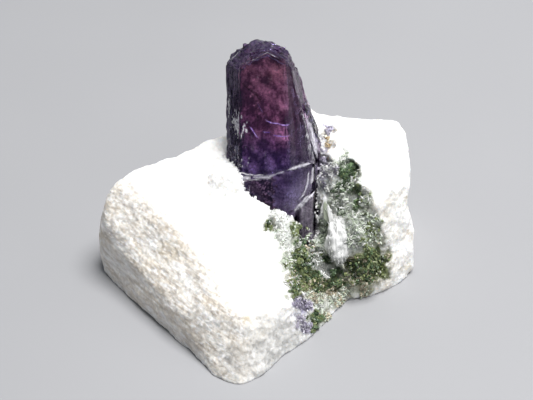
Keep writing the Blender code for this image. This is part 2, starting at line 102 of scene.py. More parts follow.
# Crystal surface
CRYSTAL_LONG, CRYSTAL_WIDE = 22 * MM, 12 * MM  # over which its tint changes
SLICE, SLICE_LONG = 0.38 * MM, 1.3  # spacing of the cuts, and how many times as much along the crystal
WELD, WELD_SMALL = 1e-4, 0.04  # millimetres
EDGE_ANGLE, EDGE_STEP = math.radians(24), 0.2
RING_SAG, RING_MIDDLE, RING_WIDE = 0.45, 0.4, 1.9  # of the healed crack, in millimetres
STRIAE_ACROSS, STRIAE_ALONG, STRIAE_DEPTH = 0.34, 8.0, 0.055
END_FACING = 0.3  # a side that faces up more than this belongs to the crystal's end
TERRACE_CENTRE, TERRACES_A_MM, TERRACE_HEIGHT = Vector((1.6, 0.8, 19.0)), 1.15, 0.16
TERRACE_WAVE, TERRACE_WAVE_SIZE = 0.8, 2.0
END_ROUGH, END_ROUGH_SIZE = 0.06, 0.6
CHIP_REACH, CHIP_DEPTH, CHIP_SIZE, CHIP_MORE = 0.40, 0.22, 0.7, 0.15
PITTED_TO, PIT_HEIGHT, PIT_SIZE = 1.2, 0.09, 0.45  # the foot is pitted left of this
LACUNARITY = 2.1  # how many times finer each layer of a fractal is


# Meshes


def placed(name, data):
    """A new object of the scene that holds the data."""
    made = bpy.data.objects.new(name, data)
    bpy.context.scene.collection.objects.link(made)
    return made


def new_object(name, mesh, finish, slot=None):
    made = placed(name, mesh)
    mesh.materials.clear()
    mesh.materials.append(finish)
    if slot:
        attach(made, "root")
    return made


def applied(source):
    """A new mesh: the object with its modifiers applied. The object is removed."""
    bpy.context.view_layer.update()
    mesh = bpy.data.meshes.new_from_object(source.evaluated_get(bpy.context.evaluated_depsgraph_get()))
    bpy.data.objects.remove(source)
    return mesh


def points_of(mesh, what="co"):
    values = np.empty(len(mesh.vertices) * 3, np.float32)
    source = mesh.vertices if what == "co" else mesh.vertex_normals
    source.foreach_get(what if what == "co" else "vector", values)
    return values.reshape(-1, 3)


def put_points(mesh, points):
    mesh.vertices.foreach_set("co", np.ascontiguousarray(points, np.float32).ravel())
    mesh.update()


def tree_of(mesh):
    polygons = [p.vertices[:] for p in mesh.polygons]
    return BVHTree.FromPolygons([v.co for v in mesh.vertices], polygons)


def mesh_from(bm, name):
    """A new mesh with what bm holds. bm is freed."""
    mesh = bpy.data.meshes.new(name)
    bm.to_mesh(mesh)
    bm.free()
    return mesh


def joined_mesh(name, shapes):
    """One mesh from many small ones. shapes holds pairs of an array of points and a list of faces."""
    points, faces, start = [], [], 0
    for corners, sides in shapes:
        points.append(corners)
        faces.extend([tuple(start + n for n in side) for side in sides])
        start += len(corners)
    mesh = bpy.data.meshes.new(name)
    mesh.from_pydata(np.concatenate(points).tolist(), [], faces)
    mesh.update()
    return mesh


def add_shapes(name, shapes, finish, slot):
    """One piece from many small shapes."""
    return new_object(name, joined_mesh(name, shapes), finish, slot)


def clouds(point, size=1.0, weaker=0.8, layers=3):
    """Fractal noise in clouds of about that size. The higher weaker is, the less the finer layers count."""
    return noise.fractal(point / size, weaker, LACUNARITY, layers)


def clipped(value, most=1.0):
    return min(most, max(0.0, value))


# Materials


class Finish:
    """A procedural material that is being put together."""

    def __init__(self, name):
        self.material = bpy.data.materials.new(name)
        self.material.use_nodes = True
        self.tree = self.material.node_tree
        self.shader = self.tree.nodes["Principled BSDF"]
        self.place = self.add("ShaderNodeTexCoord").outputs["Object"]

    def add(self, kind, **settings):
        node = self.tree.nodes.new(kind)
        for name, value in settings.items():
            setattr(node, name, value)
        return node

    def join(self, source, target):
        self.tree.links.new(source, target)

    def put(self, **values):
        """Sets plain values on the shader's own sockets, with _ for a space in a socket's name."""
        for name, value in values.items():
            self.shader.inputs[name.replace("_", " ")].default_value = value

    def feed(self, socket, value):
        """Joins an output to a socket, or sets a plain value on it."""
        if hasattr(value, "links"):
            self.join(value, socket)
        else:
            socket.default_value = value

    def attribute(self, name):
        return self.add("ShaderNodeAttribute", attribute_name=name).outputs["Fac"]

    def mapped(self, kind="POINT", **settings):
        """The place, as a Mapping node with those settings gives it."""
        node = self.add("ShaderNodeMapping", vector_type=kind)
        for name, value in settings.items():
            node.inputs[name].default_value = value
        self.join(self.place, node.inputs["Vector"])
        return node.outputs["Vector"]

    def stretched(self, direction, times):
        """The place, squeezed along a level direction, so that a pattern is drawn out that way."""
        turn = (0, 0, math.atan2(direction.y, direction.x))
        return self.mapped("TEXTURE", Rotation=turn, Scale=(times, 1, 1))

    def noise(self, size, detail=3.0, roughness=0.55, place=None):
        """Clouds of about that size, in metres."""
        node = self.add("ShaderNodeTexNoise")
        node.inputs["Scale"].default_value = 1.0 / size
        node.inputs["Detail"].default_value = detail
        node.inputs["Roughness"].default_value = roughness
        self.join(place or self.place, node.inputs["Vector"])
        return node.outputs["Fac"]

    def cells(self, size, output="Distance", feature="F1", place=None):
        node = self.add("ShaderNodeTexVoronoi", feature=feature)
        node.inputs["Scale"].default_value = 1.0 / size
        self.join(place or self.place, node.inputs["Vector"])
        return node.outputs[output]

    def ramp(self, source, stops):
        """A value or colour that follows the source. stops holds pairs of a place and a grey or a colour."""
        node = self.add("ShaderNodeValToRGB")
        points = node.color_ramp.elements
        while len(points) < len(stops):
            points.new(0.5)
        for point, (place, colour) in zip(points, stops):
            point.position = place
            grey = isinstance(colour, (int, float))
            point.color = (colour, colour, colour, 1.0) if grey else (*colour, 1.0)
        self.join(source, node.inputs["Fac"])
        return node.outputs["Color"]

    def mix(self, factor, a, b, how="MIX"):
        node = self.add("ShaderNodeMix", data_type="RGBA", blend_type=how)
        for socket, value in zip([s for s in node.inputs if s.enabled], (factor, a, b)):
            self.feed(socket, (*value, 1.0) if isinstance(value, tuple) else value)
        return next(s for s in node.outputs if s.enabled)

    def math(self, operation, *values, kind="ShaderNodeMath"):
        node = self.add(kind, operation=operation)
        for socket, value in zip(node.inputs, values):
            self.feed(socket, value)
        return node.outputs[0]

    def vectors(self, operation, *values):
        return self.math(operation, *values, kind="ShaderNodeVectorMath")

    def times(self, a, b):
        return self.math("MULTIPLY", a, b)

    def facets(self, size, tilt):
        """The surface's normal, leaning its own way in every grain of about that size."""
        lean = self.vectors("MULTIPLY_ADD", self.cells(size, "Color"), (2 * tilt,) * 3, (-tilt,) * 3)
        normal = self.add("ShaderNodeNewGeometry").outputs["Normal"]
        return self.vectors("NORMALIZE", self.vectors("ADD", lean, normal))

    def bump(self, height, distance, strength=1.0, after=None):
        node = self.add("ShaderNodeBump")
        node.inputs["Strength"].default_value = strength
        node.inputs["Distance"].default_value = distance
        self.join(height, node.inputs["Height"])
        if after:
            self.join(after, node.inputs["Normal"])
        return node.outputs["Normal"]

    def wire(self, **sources):
        """Joins sources to the shader's sockets, with _ for a space in a socket's name."""
        for name, source in sources.items():
            self.join(source, self.shader.inputs[name.replace("_", " ")])


def marble_finish():
    """White sugary marble, streaked beige on the left front break, with coloured ground among the grains,
    beige stains and painted shade.
    """
    f = Finish("marble_sugary")
    f.put(Subsurface_Weight=0.35, Subsurface_Scale=1.2 * MM, Subsurface_Radius=(1.0, 0.85, 0.68), IOR=1.5)
    streaks = f.stretched(LEFT_ALONG, 4.5)
    broken, stained_and_shaded, painted_shade = (f.attribute(name) for name in ("break_share", "stain_and_shade", "painted_shade"))
    ground = f.ramp(f.noise(6 * MM, 4.0, 0.6), [(0.35, (0.86, 0.85, 0.82)), (0.62, (0.90, 0.89, 0.87))])
    for patches, stops, share, colour in (
        (f.noise(1.5 * MM, 5.0, 0.66, streaks), [(0.40, 0.0), (0.62, 1.0)], broken, (0.76, 0.69, 0.59)),
        (f.noise(0.50 * MM, 4.0, 0.65, streaks), [(0.44, 0.0), (0.62, 0.9)], broken, (0.58, 0.52, 0.45)),
        (f.noise(0.38 * MM, 2.0, 0.5, streaks), [(0.50, 0.0), (0.64, 0.7)], broken, (0.92, 0.91, 0.90)),
        # painted shade: grey towards the marble's front corner
        (f.noise(1.1 * MM, 4.0, 0.65), [(0.30, 0.5), (0.62, 1.0)], painted_shade, (0.40, 0.39, 0.37)),
        # beige stains, and painted beige shade on the right block's front and right edge
        (f.noise(0.9 * MM, 4.0, 0.65), [(0.38, 0.0), (0.60, 1.0)], stained_and_shaded, (0.58, 0.50, 0.36)),
    ):
        ground = f.mix(f.times(f.ramp(patches, stops), share), ground, colour)
    grain = f.ramp(f.cells(0.40 * MM, "Color"), [(0.0, 0.88), (0.8, 1.0), (1.0, 1.12)])
    crust = f.add("ShaderNodeAttribute", attribute_name="crust").outputs
    dust = f.ramp(f.noise(0.35 * MM, 4.0, 0.7), [(0.3, 0.35), (0.7, 1.5)])
    speckled, dusty = f.mix(1.0, ground, grain, "MULTIPLY"), f.mix(1.0, crust["Color"], dust, "MULTIPLY")
    f.wire(Base_Color=f.mix(crust["Alpha"], speckled, dusty))
    f.wire(Roughness=f.ramp(f.cells(0.5 * MM, "Color"), [(0.0, 0.22), (0.4, 0.55), (1.0, 0.75)]))
    edges = f.cells(0.40 * MM, feature="DISTANCE_TO_EDGE", place=f.stretched(LEFT_ALONG, 2.0))
    coarse = f.bump(edges, 0.06 * MM, 0.6, after=f.facets(0.30 * MM, 0.20))
    f.wire(Normal=f.bump(f.noise(0.22 * MM, 4.0, 0.65, streaks), 0.07 * MM, 0.8, after=coarse))
    return f.material


def scapolite_finish():
    """Clear dark purple crystal: plum in the middle of its length, bluer at its foot and along its sides,
    where painted shade also darkens it.
    """
    f = Finish("scapolite_clear")
    f.put(Transmission_Weight=1.0, IOR=1.56, Specular_IOR_Level=0.3, Specular_Tint=(0.45, 0.38, 0.75, 1.0))
    inverse = CRYSTAL_PLACE.inverted()
    own = f.mapped(Rotation=inverse.to_euler(), Location=inverse.translation)
    parts = f.add("ShaderNodeSeparateXYZ")
    f.join(own, parts.inputs["Vector"])
    wave = f.times(f.math("SUBTRACT", f.noise(2.5 * MM), 0.5), 5 * MM)
    height = f.math("DIVIDE", f.math("ADD", parts.outputs["Z"], wave), CRYSTAL_LONG)
    tint = f.ramp(height, [
        (0.0, (0.72, 0.70, 0.95)), (0.30, (0.66, 0.60, 0.95)), (0.42, (0.86, 0.62, 0.78)),
        (0.75, (0.92, 0.66, 0.72)), (0.95, (0.74, 0.66, 0.88)),
    ])
    across = f.math("ADD", f.math("DIVIDE", parts.outputs["X"], CRYSTAL_WIDE), 0.5)
    # painted shade: darker towards the left side and a little towards the right, as well as bluer there
    shade = f.ramp(across, [
        (0.14, (0.40, 0.36, 0.52)), (0.26, (0.62, 0.58, 0.72)), (0.31, (1.0, 1.0, 1.0)),
        (0.70, (1.0, 1.0, 1.0)), (0.76, (0.88, 0.87, 0.90)), (0.90, (0.96, 0.95, 0.97)),
    ])
    pale = f.ramp(across, [(0.78, 0.0), (0.87, 1.0)])
    f.wire(Base_Color=f.mix(pale, f.mix(1.0, tint, shade, "MULTIPLY"), (0.80, 0.77, 0.88)))
    f.wire(Roughness=f.ramp(f.noise(1.1 * MM, 4.0, 0.6), [(0.40, 0.02), (0.75, 0.22)]))
    drawn_out = f.vectors("MULTIPLY", own, (1.0, 1.0, 0.04))
    f.wire(Normal=f.bump(f.noise(0.16 * MM, 3.0, 0.6, drawn_out), 0.02 * MM, 0.6))
    depth = f.add("ShaderNodeVolumeAbsorption")
    depth.inputs["Color"].default_value = (0.56, 0.30, 0.58, 1.0)
    depth.inputs["Density"].default_value = 430.0
    f.join(depth.outputs["Volume"], f.tree.nodes["Material Output"].inputs["Volume"])
    return f.material


def grain_finish(name, dark, light, roughness, transmission=0.0, scatter=0.0):
    """Glassy grains: each has its own shade between dark and light, with clouds inside."""
    f = Finish(name)
    f.put(Transmission_Weight=transmission, IOR=1.6)
    f.put(Subsurface_Weight=scatter, Subsurface_Scale=0.5 * MM, Subsurface_Radius=(1.0, 1.0, 1.0))
    own = f.add("ShaderNodeNewGeometry").outputs["Random Per Island"]
    cloud = f.times(f.noise(0.35 * MM, 3.0, 0.6), 0.5)
    f.wire(Base_Color=f.ramp(f.math("ADD", f.times(own, 0.75), cloud), [(0.15, dark), (1.0, light)]))
    f.wire(Roughness=f.ramp(f.noise(0.5 * MM), [(0.3, roughness * 0.6), (0.7, roughness * 1.6)]))
    f.wire(Normal=f.bump(f.noise(0.12 * MM, 3.0, 0.6), 0.015 * MM, 0.6))
    return f.material


def floor_finish():
    f = Finish("floor_pale")
    f.wire(Base_Color=f.ramp(f.noise(60 * MM, 2.0), [(0.3, (0.29, 0.29, 0.30)), (0.7, (0.31, 0.31, 0.32))]))
    f.put(Roughness=0.7)
    return f.material


# Marble


def sugar_height(point):
    """The marble's grains: each is a small flat face, tilted its own way."""
    distances, middles = noise.voronoi(point / SUGAR_SIZE)
    middle = middles[0]
    tilt = noise.cell_vector(middle * 61.7) - Vector((0.5, 0.5, 0.5))
    groove = min(GROOVE_WIDTH, distances[1] - distances[0]) - GROOVE_WIDTH / 2
    return SUGAR_SIZE * (SUGAR_TILT * tilt.dot(point / SUGAR_SIZE - middle) + SUGAR_GROOVE * groove)


def ledge_height(point):
    along = point.dot(LEFT_ALONG) / LEDGE_STRETCH
    return LEDGE_HEIGHT * clouds(Vector((along, point.dot(LEFT_BREAK), point.z)), LEDGE_SIZE)


def stone_base():
    """The marble of the CAD model with the crusts' beds filled, as one even mesh."""
    bm = bmesh.new()
    for name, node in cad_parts.items():
        if name == "scapolite_crystal":
            continue
        old = len(bm.verts)
        bm.from_mesh(node.data)
        bm.verts.ensure_lookup_table()
        if name != "marble_matrix":
            bm.normal_update()
            for vert in bm.verts[old:]:
                vert.co += vert.normal * BED_FILL
                vert.co.z = max(vert.co.z, UNDERSIDE_FLAT)
    rough = placed("stone_base", mesh_from(bm, "stone_base"))
    remesh = rough.modifiers.new("even", "REMESH")
    remesh.mode = "VOXEL"
    remesh.voxel_size = STONE_VOXEL
    smooth = rough.modifiers.new("worn", "SMOOTH")
    smooth.factor = 0.5
    smooth.iterations = STONE_WEAR
    return applied(rough)


def beside_crystal(point, crystal):
    """The point, drawn up to the crystal where the CAD model leaves a gap."""
    near, normal, index, distance = crystal.find_nearest(point, SOCKET_REACH)
    if near is None or distance < SOCKET_LEFT:
        return point
    share = 1.0 - distance / SOCKET_REACH
    left = SOCKET_LEFT + max(0.0, distance - SOCKET_GAP) * (1.0 + 0.5 * share)
    return near + (point - near) * (min(left, distance) / distance)


def distance_beside(point, normal, crystal, reach):
    """How far the crystal is, or None if it is further than reach or under the surface."""
    near, side, index, distance = crystal.find_nearest(point, reach)
    buried = near is not None and (near - point).dot(normal) < BURIED * distance
    return None if near is None or buried else distance


def neighbours_middle(values, edges, count):
    """For each point, the middle of its neighbours' values."""
    total = np.zeros_like(values)
    for a, b in ((0, 1), (1, 0)):
        for k in range(values.shape[1]):
            total[:, k] += np.bincount(edges[:, a], values[edges[:, b], k], len(values))
    return total / count


def softened(mesh, crystal):
    """The mesh's points, smoothed on the left front break and the rim, and how far each is on the break."""
    points, normals = points_of(mesh).astype(float), points_of(mesh, "normal").astype(float)
    edges = np.empty(len(mesh.edges) * 2, np.int32)
    mesh.edges.foreach_get("vertices", edges)
    edges = edges.reshape(-1, 2)
    count = np.bincount(edges.ravel(), minlength=len(points))[:, None]
    facing = np.clip((normals @ np.array(LEFT_BREAK) - BREAK_FACING) * BREAK_GAIN, 0, 1)
    facing[points @ np.array(LEFT_BREAK) < BREAK_FROM] = 0
    u, v = pixels_of(points)
    rim = np.zeros(len(points))
    for (x, y), radius in SOFT_SPOTS:
        rim = np.maximum(rim, np.hypot(u - x, v - y) < radius)
    shares = np.stack([facing, rim], axis=1)
    for _ in range(SOFT_SPREAD):
        shares = shares + SOFT_STEP * (neighbours_middle(shares, edges, count) - shares)
    away = np.array([crystal.find_nearest(Vector(p))[3] for p in points])
    kept = np.clip(points[:, 2] / SOFT_ABOVE, 0, 1) * np.clip((away - SOFT_CLEAR) / SOFT_FADE, 0, 1)
    strength = (np.clip(shares.max(axis=1) * SOFT_GAIN, 0, 1) * kept)[:, None] * SOFT_STEP
    for _ in range(SOFT_ROUNDS):
        points += strength * (neighbours_middle(points, edges, count) - points)
    return points, shares[:, 0]


def crust_colours(points, tree):
    """The colour of the ground between the grains, with how much of it there is as its fourth value."""
    u, v = pixels_of(points)
    (left, right), (top, low) = GROUND_WINDOW
    for n in np.nonzero((u > left) & (u < right) & (v > top) & (v < low))[0]:
        u[n], v[n] = wandered(u[n], v[n])
    total, cover = np.zeros(len(points)), np.zeros(len(points))
    colours = np.zeros((len(points), 3))
    for (x, y), radius, kinds in CLUMPS:
        nearness = np.clip(1.0 - np.hypot(u - x, v - y) / (radius * GROUND_REACH), 0, 1)
        cover = np.maximum(cover, np.clip(nearness * GROUND_EDGE, 0, 1))
        for kind, share in kinds.items():
            weight = nearness ** 2 * share / sum(kinds.values())
            total += weight
            colours += weight[:, None] * np.array(GROUND_COLOURS[kind])
    colours /= np.maximum(total, 1e-6)[:, None]
    for n in np.nonzero(cover > 0)[0]:
        if not in_view(Vector(points[n]), tree, GROUND_SLACK):
            cover[n] = 0
    return np.concatenate([colours, cover[:, None]], axis=1)


def shares_of(points, spots):
    """How much of the spots' colour each point has. A spot is a pixel, a radius in pixels and a strength."""
    u, v = pixels_of(points)
    shares = np.zeros(len(points))
    for (x, y), radius, strength in spots:
        shares = np.maximum(shares, strength * np.clip(2.0 * (1.0 - np.hypot(u - x, v - y) / radius), 0, 1))
    return shares


def marble(crystal):
    """The marble block with its sugary breaks. Returns it with a tree of its surface."""
    mesh = stone_base()
    points, on_break = softened(mesh, crystal)
    put_points(mesh, points)
    normals = points_of(mesh, "normal")
    crust = crust_colours(points, tree_of(mesh))
    # beige stains with painted beige shade, and painted grey shade at the front corner
    stain_and_shade, painted_shade = shares_of(points, STAINS_AND_SHADE), shares_of(points, PAINTED_SHADE_SPOTS)
    heap_middle = place_at(HEAP_PIXEL, tree_of(mesh))[0]
    moved = np.empty_like(points)
    for n, (co, no) in enumerate(zip(points, normals)):
        point, normal = Vector(co), Vector(no)
        sugary = SUGAR_SHARE + SUGAR_MORE * max(on_break[n], painted_shade[n])
        height = sugar_height(point) * sugary + on_break[n] * ledge_height(point)
        height += (1.0 - LUMPS_LACK * on_break[n]) * LUMPS_HEIGHT * clouds(point, LUMPS_SIZE, layers=4)
        height += FINE_HEIGHT * noise.noise(point / FINE_SIZE)
        height += crust[n, 3] * CRUST_HEIGHT * clouds(point, CRUST_SIZE, 0.7)
        heap = max(0.0, 1.0 - (point - heap_middle).length / HEAP_REACH)
        height += HEAP_HEIGHT * heap * heap * (3.0 - 2.0 * heap)
        beside = distance_beside(point, normal, crystal, RAGGED_REACH)
        if beside is not None:
            ragged = 1.0 - beside / RAGGED_REACH
            height += RAGGED_HEIGHT * ragged * clouds(point, RAGGED_SIZE, 0.6)
        fade = clipped(point.z / UNDERSIDE_FLAT)
        place = beside_crystal(point + normal * height * fade, crystal)
        place.z = max(0.0, place.z)
        moved[n] = place
    put_points(mesh, moved)
    for name, values in (("break_share", on_break), ("stain_and_shade", stain_and_shade), ("painted_shade", painted_shade)):
        mesh.attributes.new(name, "FLOAT", "POINT").data.foreach_set("value", values.astype(np.float32))
    layer = mesh.attributes.new("crust", "FLOAT_COLOR", "POINT")
    layer.data.foreach_set("color", crust.astype(np.float32).ravel())
    block = new_object("marble", mesh, marble_finish(), "marble")
    mesh.polygons.foreach_set("use_smooth", [True] * len(mesh.polygons))
    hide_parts("marble_matrix")
    return block, tree_of(mesh)


# Crystal


def sharp_edge_points(bm):
    """Points along the crystal's edges, close together."""
    found = []
    for edge in bm.edges:
        if edge.is_manifold and edge.calc_face_angle() > EDGE_ANGLE:
            start, end = edge.verts[0].co, edge.verts[1].co
            steps = max(1, int((end - start).length / EDGE_STEP))
            found.extend(start.lerp(end, n / steps) for n in range(steps + 1))
    tree = KDTree(len(found))
    for n, point in enumerate(found):
        tree.insert(point, n)
    tree.balance()
    return tree


def crack_height(x, y):
    """The height of the healed crack at a point of the crystal's cross section."""
    return CRACK_HEIGHT - math.tan(CRACK_SLOPE) * (x * math.cos(CRACK_WAY) + y * math.sin(CRACK_WAY))


def ring_height(x, y):
    """The height at which the healed crack shows, which sags a little in the middle of the front."""
    return crack_height(x, y) - RING_SAG * math.exp(-((x - RING_MIDDLE) / RING_WIDE) ** 2)


def crystal_relief(point, normal, edge_distance):
    """How far the crystal's surface stands out at a point of its own frame, in millimetres."""
    around = Vector((point.x, point.y, 0)) / STRIAE_ACROSS
    striae = noise.noise(Vector((around.x, around.y, point.z / STRIAE_ALONG)))
    side = 1.0 - abs(normal.z)
    height = STRIAE_DEPTH * striae * side
    if normal.z > END_FACING:
        wave = TERRACE_WAVE * noise.noise(point / TERRACE_WAVE_SIZE)
        ripple = (point - TERRACE_CENTRE).length * TERRACES_A_MM + wave
        height += TERRACE_HEIGHT * (ripple % 1.0 - 0.5) + END_ROUGH * clouds(point, END_ROUGH_SIZE)
    chip = max(0.0, noise.noise(point / CHIP_SIZE) + CHIP_MORE) * CHIP_DEPTH
    height -= chip * max(0.0, 1.0 - edge_distance / CHIP_REACH)
    if point.z < crack_height(point.x, point.y) and point.x < PITTED_TO:
        height += PIT_HEIGHT * clouds(point, PIT_SIZE) * side
    return height


def crystal():
    """The crystal with its striae, chipped edges and rough end. Returns it with a tree of its surface."""
    bm = bmesh.new()
    bm.from_mesh(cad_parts["scapolite_crystal"].data)
    bmesh.ops.transform(bm, matrix=TO_OWN, verts=bm.verts)
    bmesh.ops.remove_doubles(bm, verts=bm.verts, dist=WELD)
    edges = sharp_edge_points(bm)
    low, high = ([pick(v.co[k] for v in bm.verts) for k in range(3)] for pick in (min, max))
    for axis in range(3):
        normal = Vector((axis == 0, axis == 1, axis == 2))
        spacing = SLICE / MM * (SLICE_LONG if axis == 2 else 1.0)
        for n in range(1, int((high[axis] - low[axis]) / spacing) + 1):
            geometry = bm.verts[:] + bm.edges[:] + bm.faces[:]
            point = normal * (low[axis] + spacing * n)
            bmesh.ops.bisect_plane(bm, geom=geometry, dist=WELD, plane_co=point, plane_no=normal)
    bmesh.ops.triangulate(bm, faces=bm.faces)
    bmesh.ops.remove_doubles(bm, verts=bm.verts, dist=WELD_SMALL)
    bm.normal_update()
    heights = [crystal_relief(v.co, v.normal, edges.find(v.co)[2]) for v in bm.verts]
    for vert, place in zip(bm.verts, [v.co + v.normal * height for v, height in zip(bm.verts, heights)]):
        vert.co = place
    bmesh.ops.transform(bm, matrix=TO_OWN.inverted(), verts=bm.verts)
    mesh = mesh_from(bm, "scapolite")
    made = new_object("scapolite", mesh, scapolite_finish(), "scapolite")
    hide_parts("scapolite_crystal")
    return made, tree_of(mesh)


# Inside the crystal

# Colours inside the crystal, by height in millimetres, where it glows and where it doesn't
GLOW_LIGHT = [
    (3.5, (0.46, 0.40, 0.58)), (5.5, (0.60, 0.47, 0.68)), (8.0, (0.60, 0.40, 0.60)),
    (11.0, (0.60, 0.36, 0.50)), (15.0, (0.60, 0.40, 0.50)), (19.0, (0.56, 0.34, 0.38)),
]
GLOW_DARK = [
    (3.5, (0.09, 0.07, 0.15)), (5.5, (0.10, 0.06, 0.16)), (8.0, (0.11, 0.06, 0.14)),
    (11.0, (0.12, 0.05, 0.10)), (15.0, (0.12, 0.06, 0.10)), (19.0, (0.12, 0.05, 0.07)),
]
# Parts of the front: dark colour, light colour, and how much clouds and streaks count between them
NAVY = (0.008, 0.006, 0.02), (0.08, 0.065, 0.16), 0.5, 0.5  # down the left side
LILAC = (0.36, 0.33, 0.38), (0.92, 0.90, 0.93), 0.4, 0.6  # low on the right
BAND = (0.07, 0.06, 0.07), (0.26, 0.23, 0.24), 0.4, 0.6  # along the right of the window, its clear middle
SLATE = (0.08, 0.06, 0.10), (0.90, 0.86, 0.88), 0.2, 0.8  # the curved facet at the foot
BAND_WIDE = 0.6
SHADED_DARK, SHADED_LIGHT = 0.4, 0.28  # what is left of the window's colours right of the band
PITTED_DARK, PITTED_LIGHT, PITTED_CLOUDS = (0.03, 0.02, 0.03), (0.36, 0.27, 0.28), 0.7
SPECKLE, SPECK_FROM, SPECK_FINE, SPECK_COARSE = 7.0, 0.25, 0.17, 0.5
FOOT_DARK, FOOT_FADE = (0.12, 0.09, 0.16), 1.5
FOOT_GLOW = [(0.0, (0.24, 0.18, 0.32)), (0.4, (0.80, 0.76, 0.88)), (1.0, (1.0, 1.0, 1.0))]  # 1 at its rim
HAZE, HAZE_WIDTH, HAZE_SIZE, HAZE_SHARE = (0.85, 0.82, 0.88), 0.75, 0.6, 0.8  # along the healed crack
END_LIGHT, END_DARK = (0.19, 0.17, 0.27), (0.03, 0.025, 0.07)
GLOW_STEP = 0.13
FRONT_DEPTH, FRONT_WAVE = 0.75, 0.40
END_DEPTH, END_WAVE = 0.45, 0.15
SHEET_JUMP = 0.5 * MM  # a sheet breaks off where it would step further than this
SLIVER_FROM = 4.2  # the slim crystals begin right of this
THINNEST = 0.5  # no sheet where the crystal is thinner than this past it
END_LIFT = 0.4  # a side whose normal rises more than this in the crystal's frame belongs to its end
DEPTH_SHARES = [-4.2, -3.0, 2.6, 4.0], [0.5, 1.0, 1.0, 0.18]  # across, and the share of the depth there
FRONT_COVER, END_COVER = 0.92, 0.9  # how much of what lies behind the colours hide
FRONT_ACROSS, FRONT_ALONG = (-5.2, 6.2), (-4.2, 19.4)
END_ACROSS, END_ALONG = (-5.2, 5.2), (-4.6, 4.6)
SHEET_OFFSET = Vector((17.3, 4.1, 9.7))  # into the noise
WARP, WARP_SIZE = 1.5, 2.2  # by how much the heights of the colours wander, and over what size
CLOUD_SIZE, CLOUD_BASE, CLOUD_GAIN, CLOUD_MOST = 1.3, 0.40, 1.30, 2.6
CLOUD_DEEP, CLOUD_TALL = 0.3, 0.75  # clouds are drawn out into the crystal and along it
WISP_SIZE, WISP_TALL, WISP_THIN, WISP_LIGHT, WISP_PATCH = 1.5, 0.6, 0.05, 0.9, 1.9
END_RIPPLE, END_WANDER_SIZE, END_SPECK_SIZE, END_MOST = 1.6, 1.3, 0.5, 1.2
STREAK_SIZES = 0.16, 0.5, 5
# Edges of the front's parts: x at a height, that height, and how much further left a millimetre up is
WINDOW_EDGE, LILAC_EDGE = (2.22, 18.35, 0.053), (4.27, 11.18, 0.242)
LILAC_TO, NAVY_TO = 12.5, -2.85  # up to this height, and left of this
FACET_RIM = [1.3, 2.3, 4.08, 4.98, 5.99], [-0.6, -0.4, 0.33, 1.32, 2.66]  # its height across the front


def own_frame(*numbers):
    """A point of the crystal's own frame, in millimetres, as a place in the model."""
    return CRYSTAL_PLACE @ (Vector(numbers) * MM)


def blend(value, stops):
    """A colour between those of the stops, which are pairs of a value and a colour."""
    places = [place for place, colour in stops]
    return np.array([np.interp(value, places, [colour[k] for place, colour in stops]) for k in range(3)])


def mixed(dark, light, share):
    return np.array(dark) + (np.array(light) - np.array(dark)) * share


def streaky(part, cloud, streak):
    """The colours of a part of the front, and where between them a place is."""
    dark, light, clouded, streaked = part
    return dark, light, clouded * cloud + streaked * streak


def foot_glow(x, y, z, spot, warp, cloud, streak):
    """The dark and light colour below the healed crack, and where between them a place is."""
    rim = float(np.interp(x, *FACET_RIM))
    if x < PITTED_TO + 0.3 * warp + 0.5 * noise.noise(spot / PIT_SIZE):
        here = Vector((x, y, z))
        speck = noise.noise(here / SPECK_FINE) + 0.6 * noise.noise(here / SPECK_COARSE)
        return PITTED_DARK, PITTED_LIGHT, PITTED_CLOUDS * cloud + SPECKLE * max(0.0, speck - SPECK_FROM)
    if z > rim:
        near = math.exp(-(z - rim) / FOOT_FADE)
        return FOOT_DARK, blend(near, FOOT_GLOW), 0.2 + 0.35 * cloud + 0.45 * streak
    return streaky(SLATE, cloud, streak)


def glow_at(x, y, z):
    """The colour inside the crystal a little under its front, and how much it hides there."""
    spot = Vector((x, y * CLOUD_DEEP, z)) + SHEET_OFFSET
    warp = WARP * noise.noise(spot / WARP_SIZE)
    fractal = clouds(Vector((spot.x, spot.y, spot.z * CLOUD_TALL)), CLOUD_SIZE, 0.65, 6)
    cloud = CLOUD_BASE + CLOUD_GAIN * fractal
    light, dark = blend(z + warp, GLOW_LIGHT), blend(z + warp, GLOW_DARK)
    streak = 0.5 + 0.5 * noise.noise(Vector([c / size for c, size in zip((x, y, z), STREAK_SIZES)]))
    window_right, lilac_from = (at + (top - z) * slope for at, top, slope in (WINDOW_EDGE, LILAC_EDGE))
    if z < ring_height(x, y):
        dark, light, cloud = foot_glow(x, y, z, spot, warp, cloud, streak)
    elif x < NAVY_TO + 0.12 * warp:
        dark, light, cloud = streaky(NAVY, cloud, streak)
    elif x > lilac_from and z < LILAC_TO:
        dark, light, cloud = streaky(LILAC, cloud, streak)
    elif x > window_right:
        shaded = (SHADED_DARK * dark, SHADED_LIGHT * light, *BAND[2:])
        dark, light, cloud = streaky(BAND if x < window_right + BAND_WIDE else shaded, cloud, streak)
    else:
        wisp = abs(clouds(Vector((spot.x, spot.y, spot.z * WISP_TALL)), WISP_SIZE, 0.9))
        patch = max(0.0, 0.3 + 2 * noise.noise(spot / WISP_PATCH))
        cloud += WISP_LIGHT * max(0.0, 1.0 - wisp / WISP_THIN) * patch
        cloud *= 0.82 + 0.36 * streak
    haze = max(0.0, 1.0 - abs(z - ring_height(x, y) - 0.1 - 0.25 * warp) / HAZE_WIDTH)
    haze *= clipped(0.5 + 1.4 * clouds(spot, HAZE_SIZE, 0.7))
    colour = mixed(dark, light, clipped(cloud, CLOUD_MOST))
    return (*mixed(colour, HAZE, HAZE_SHARE * haze), FRONT_COVER)


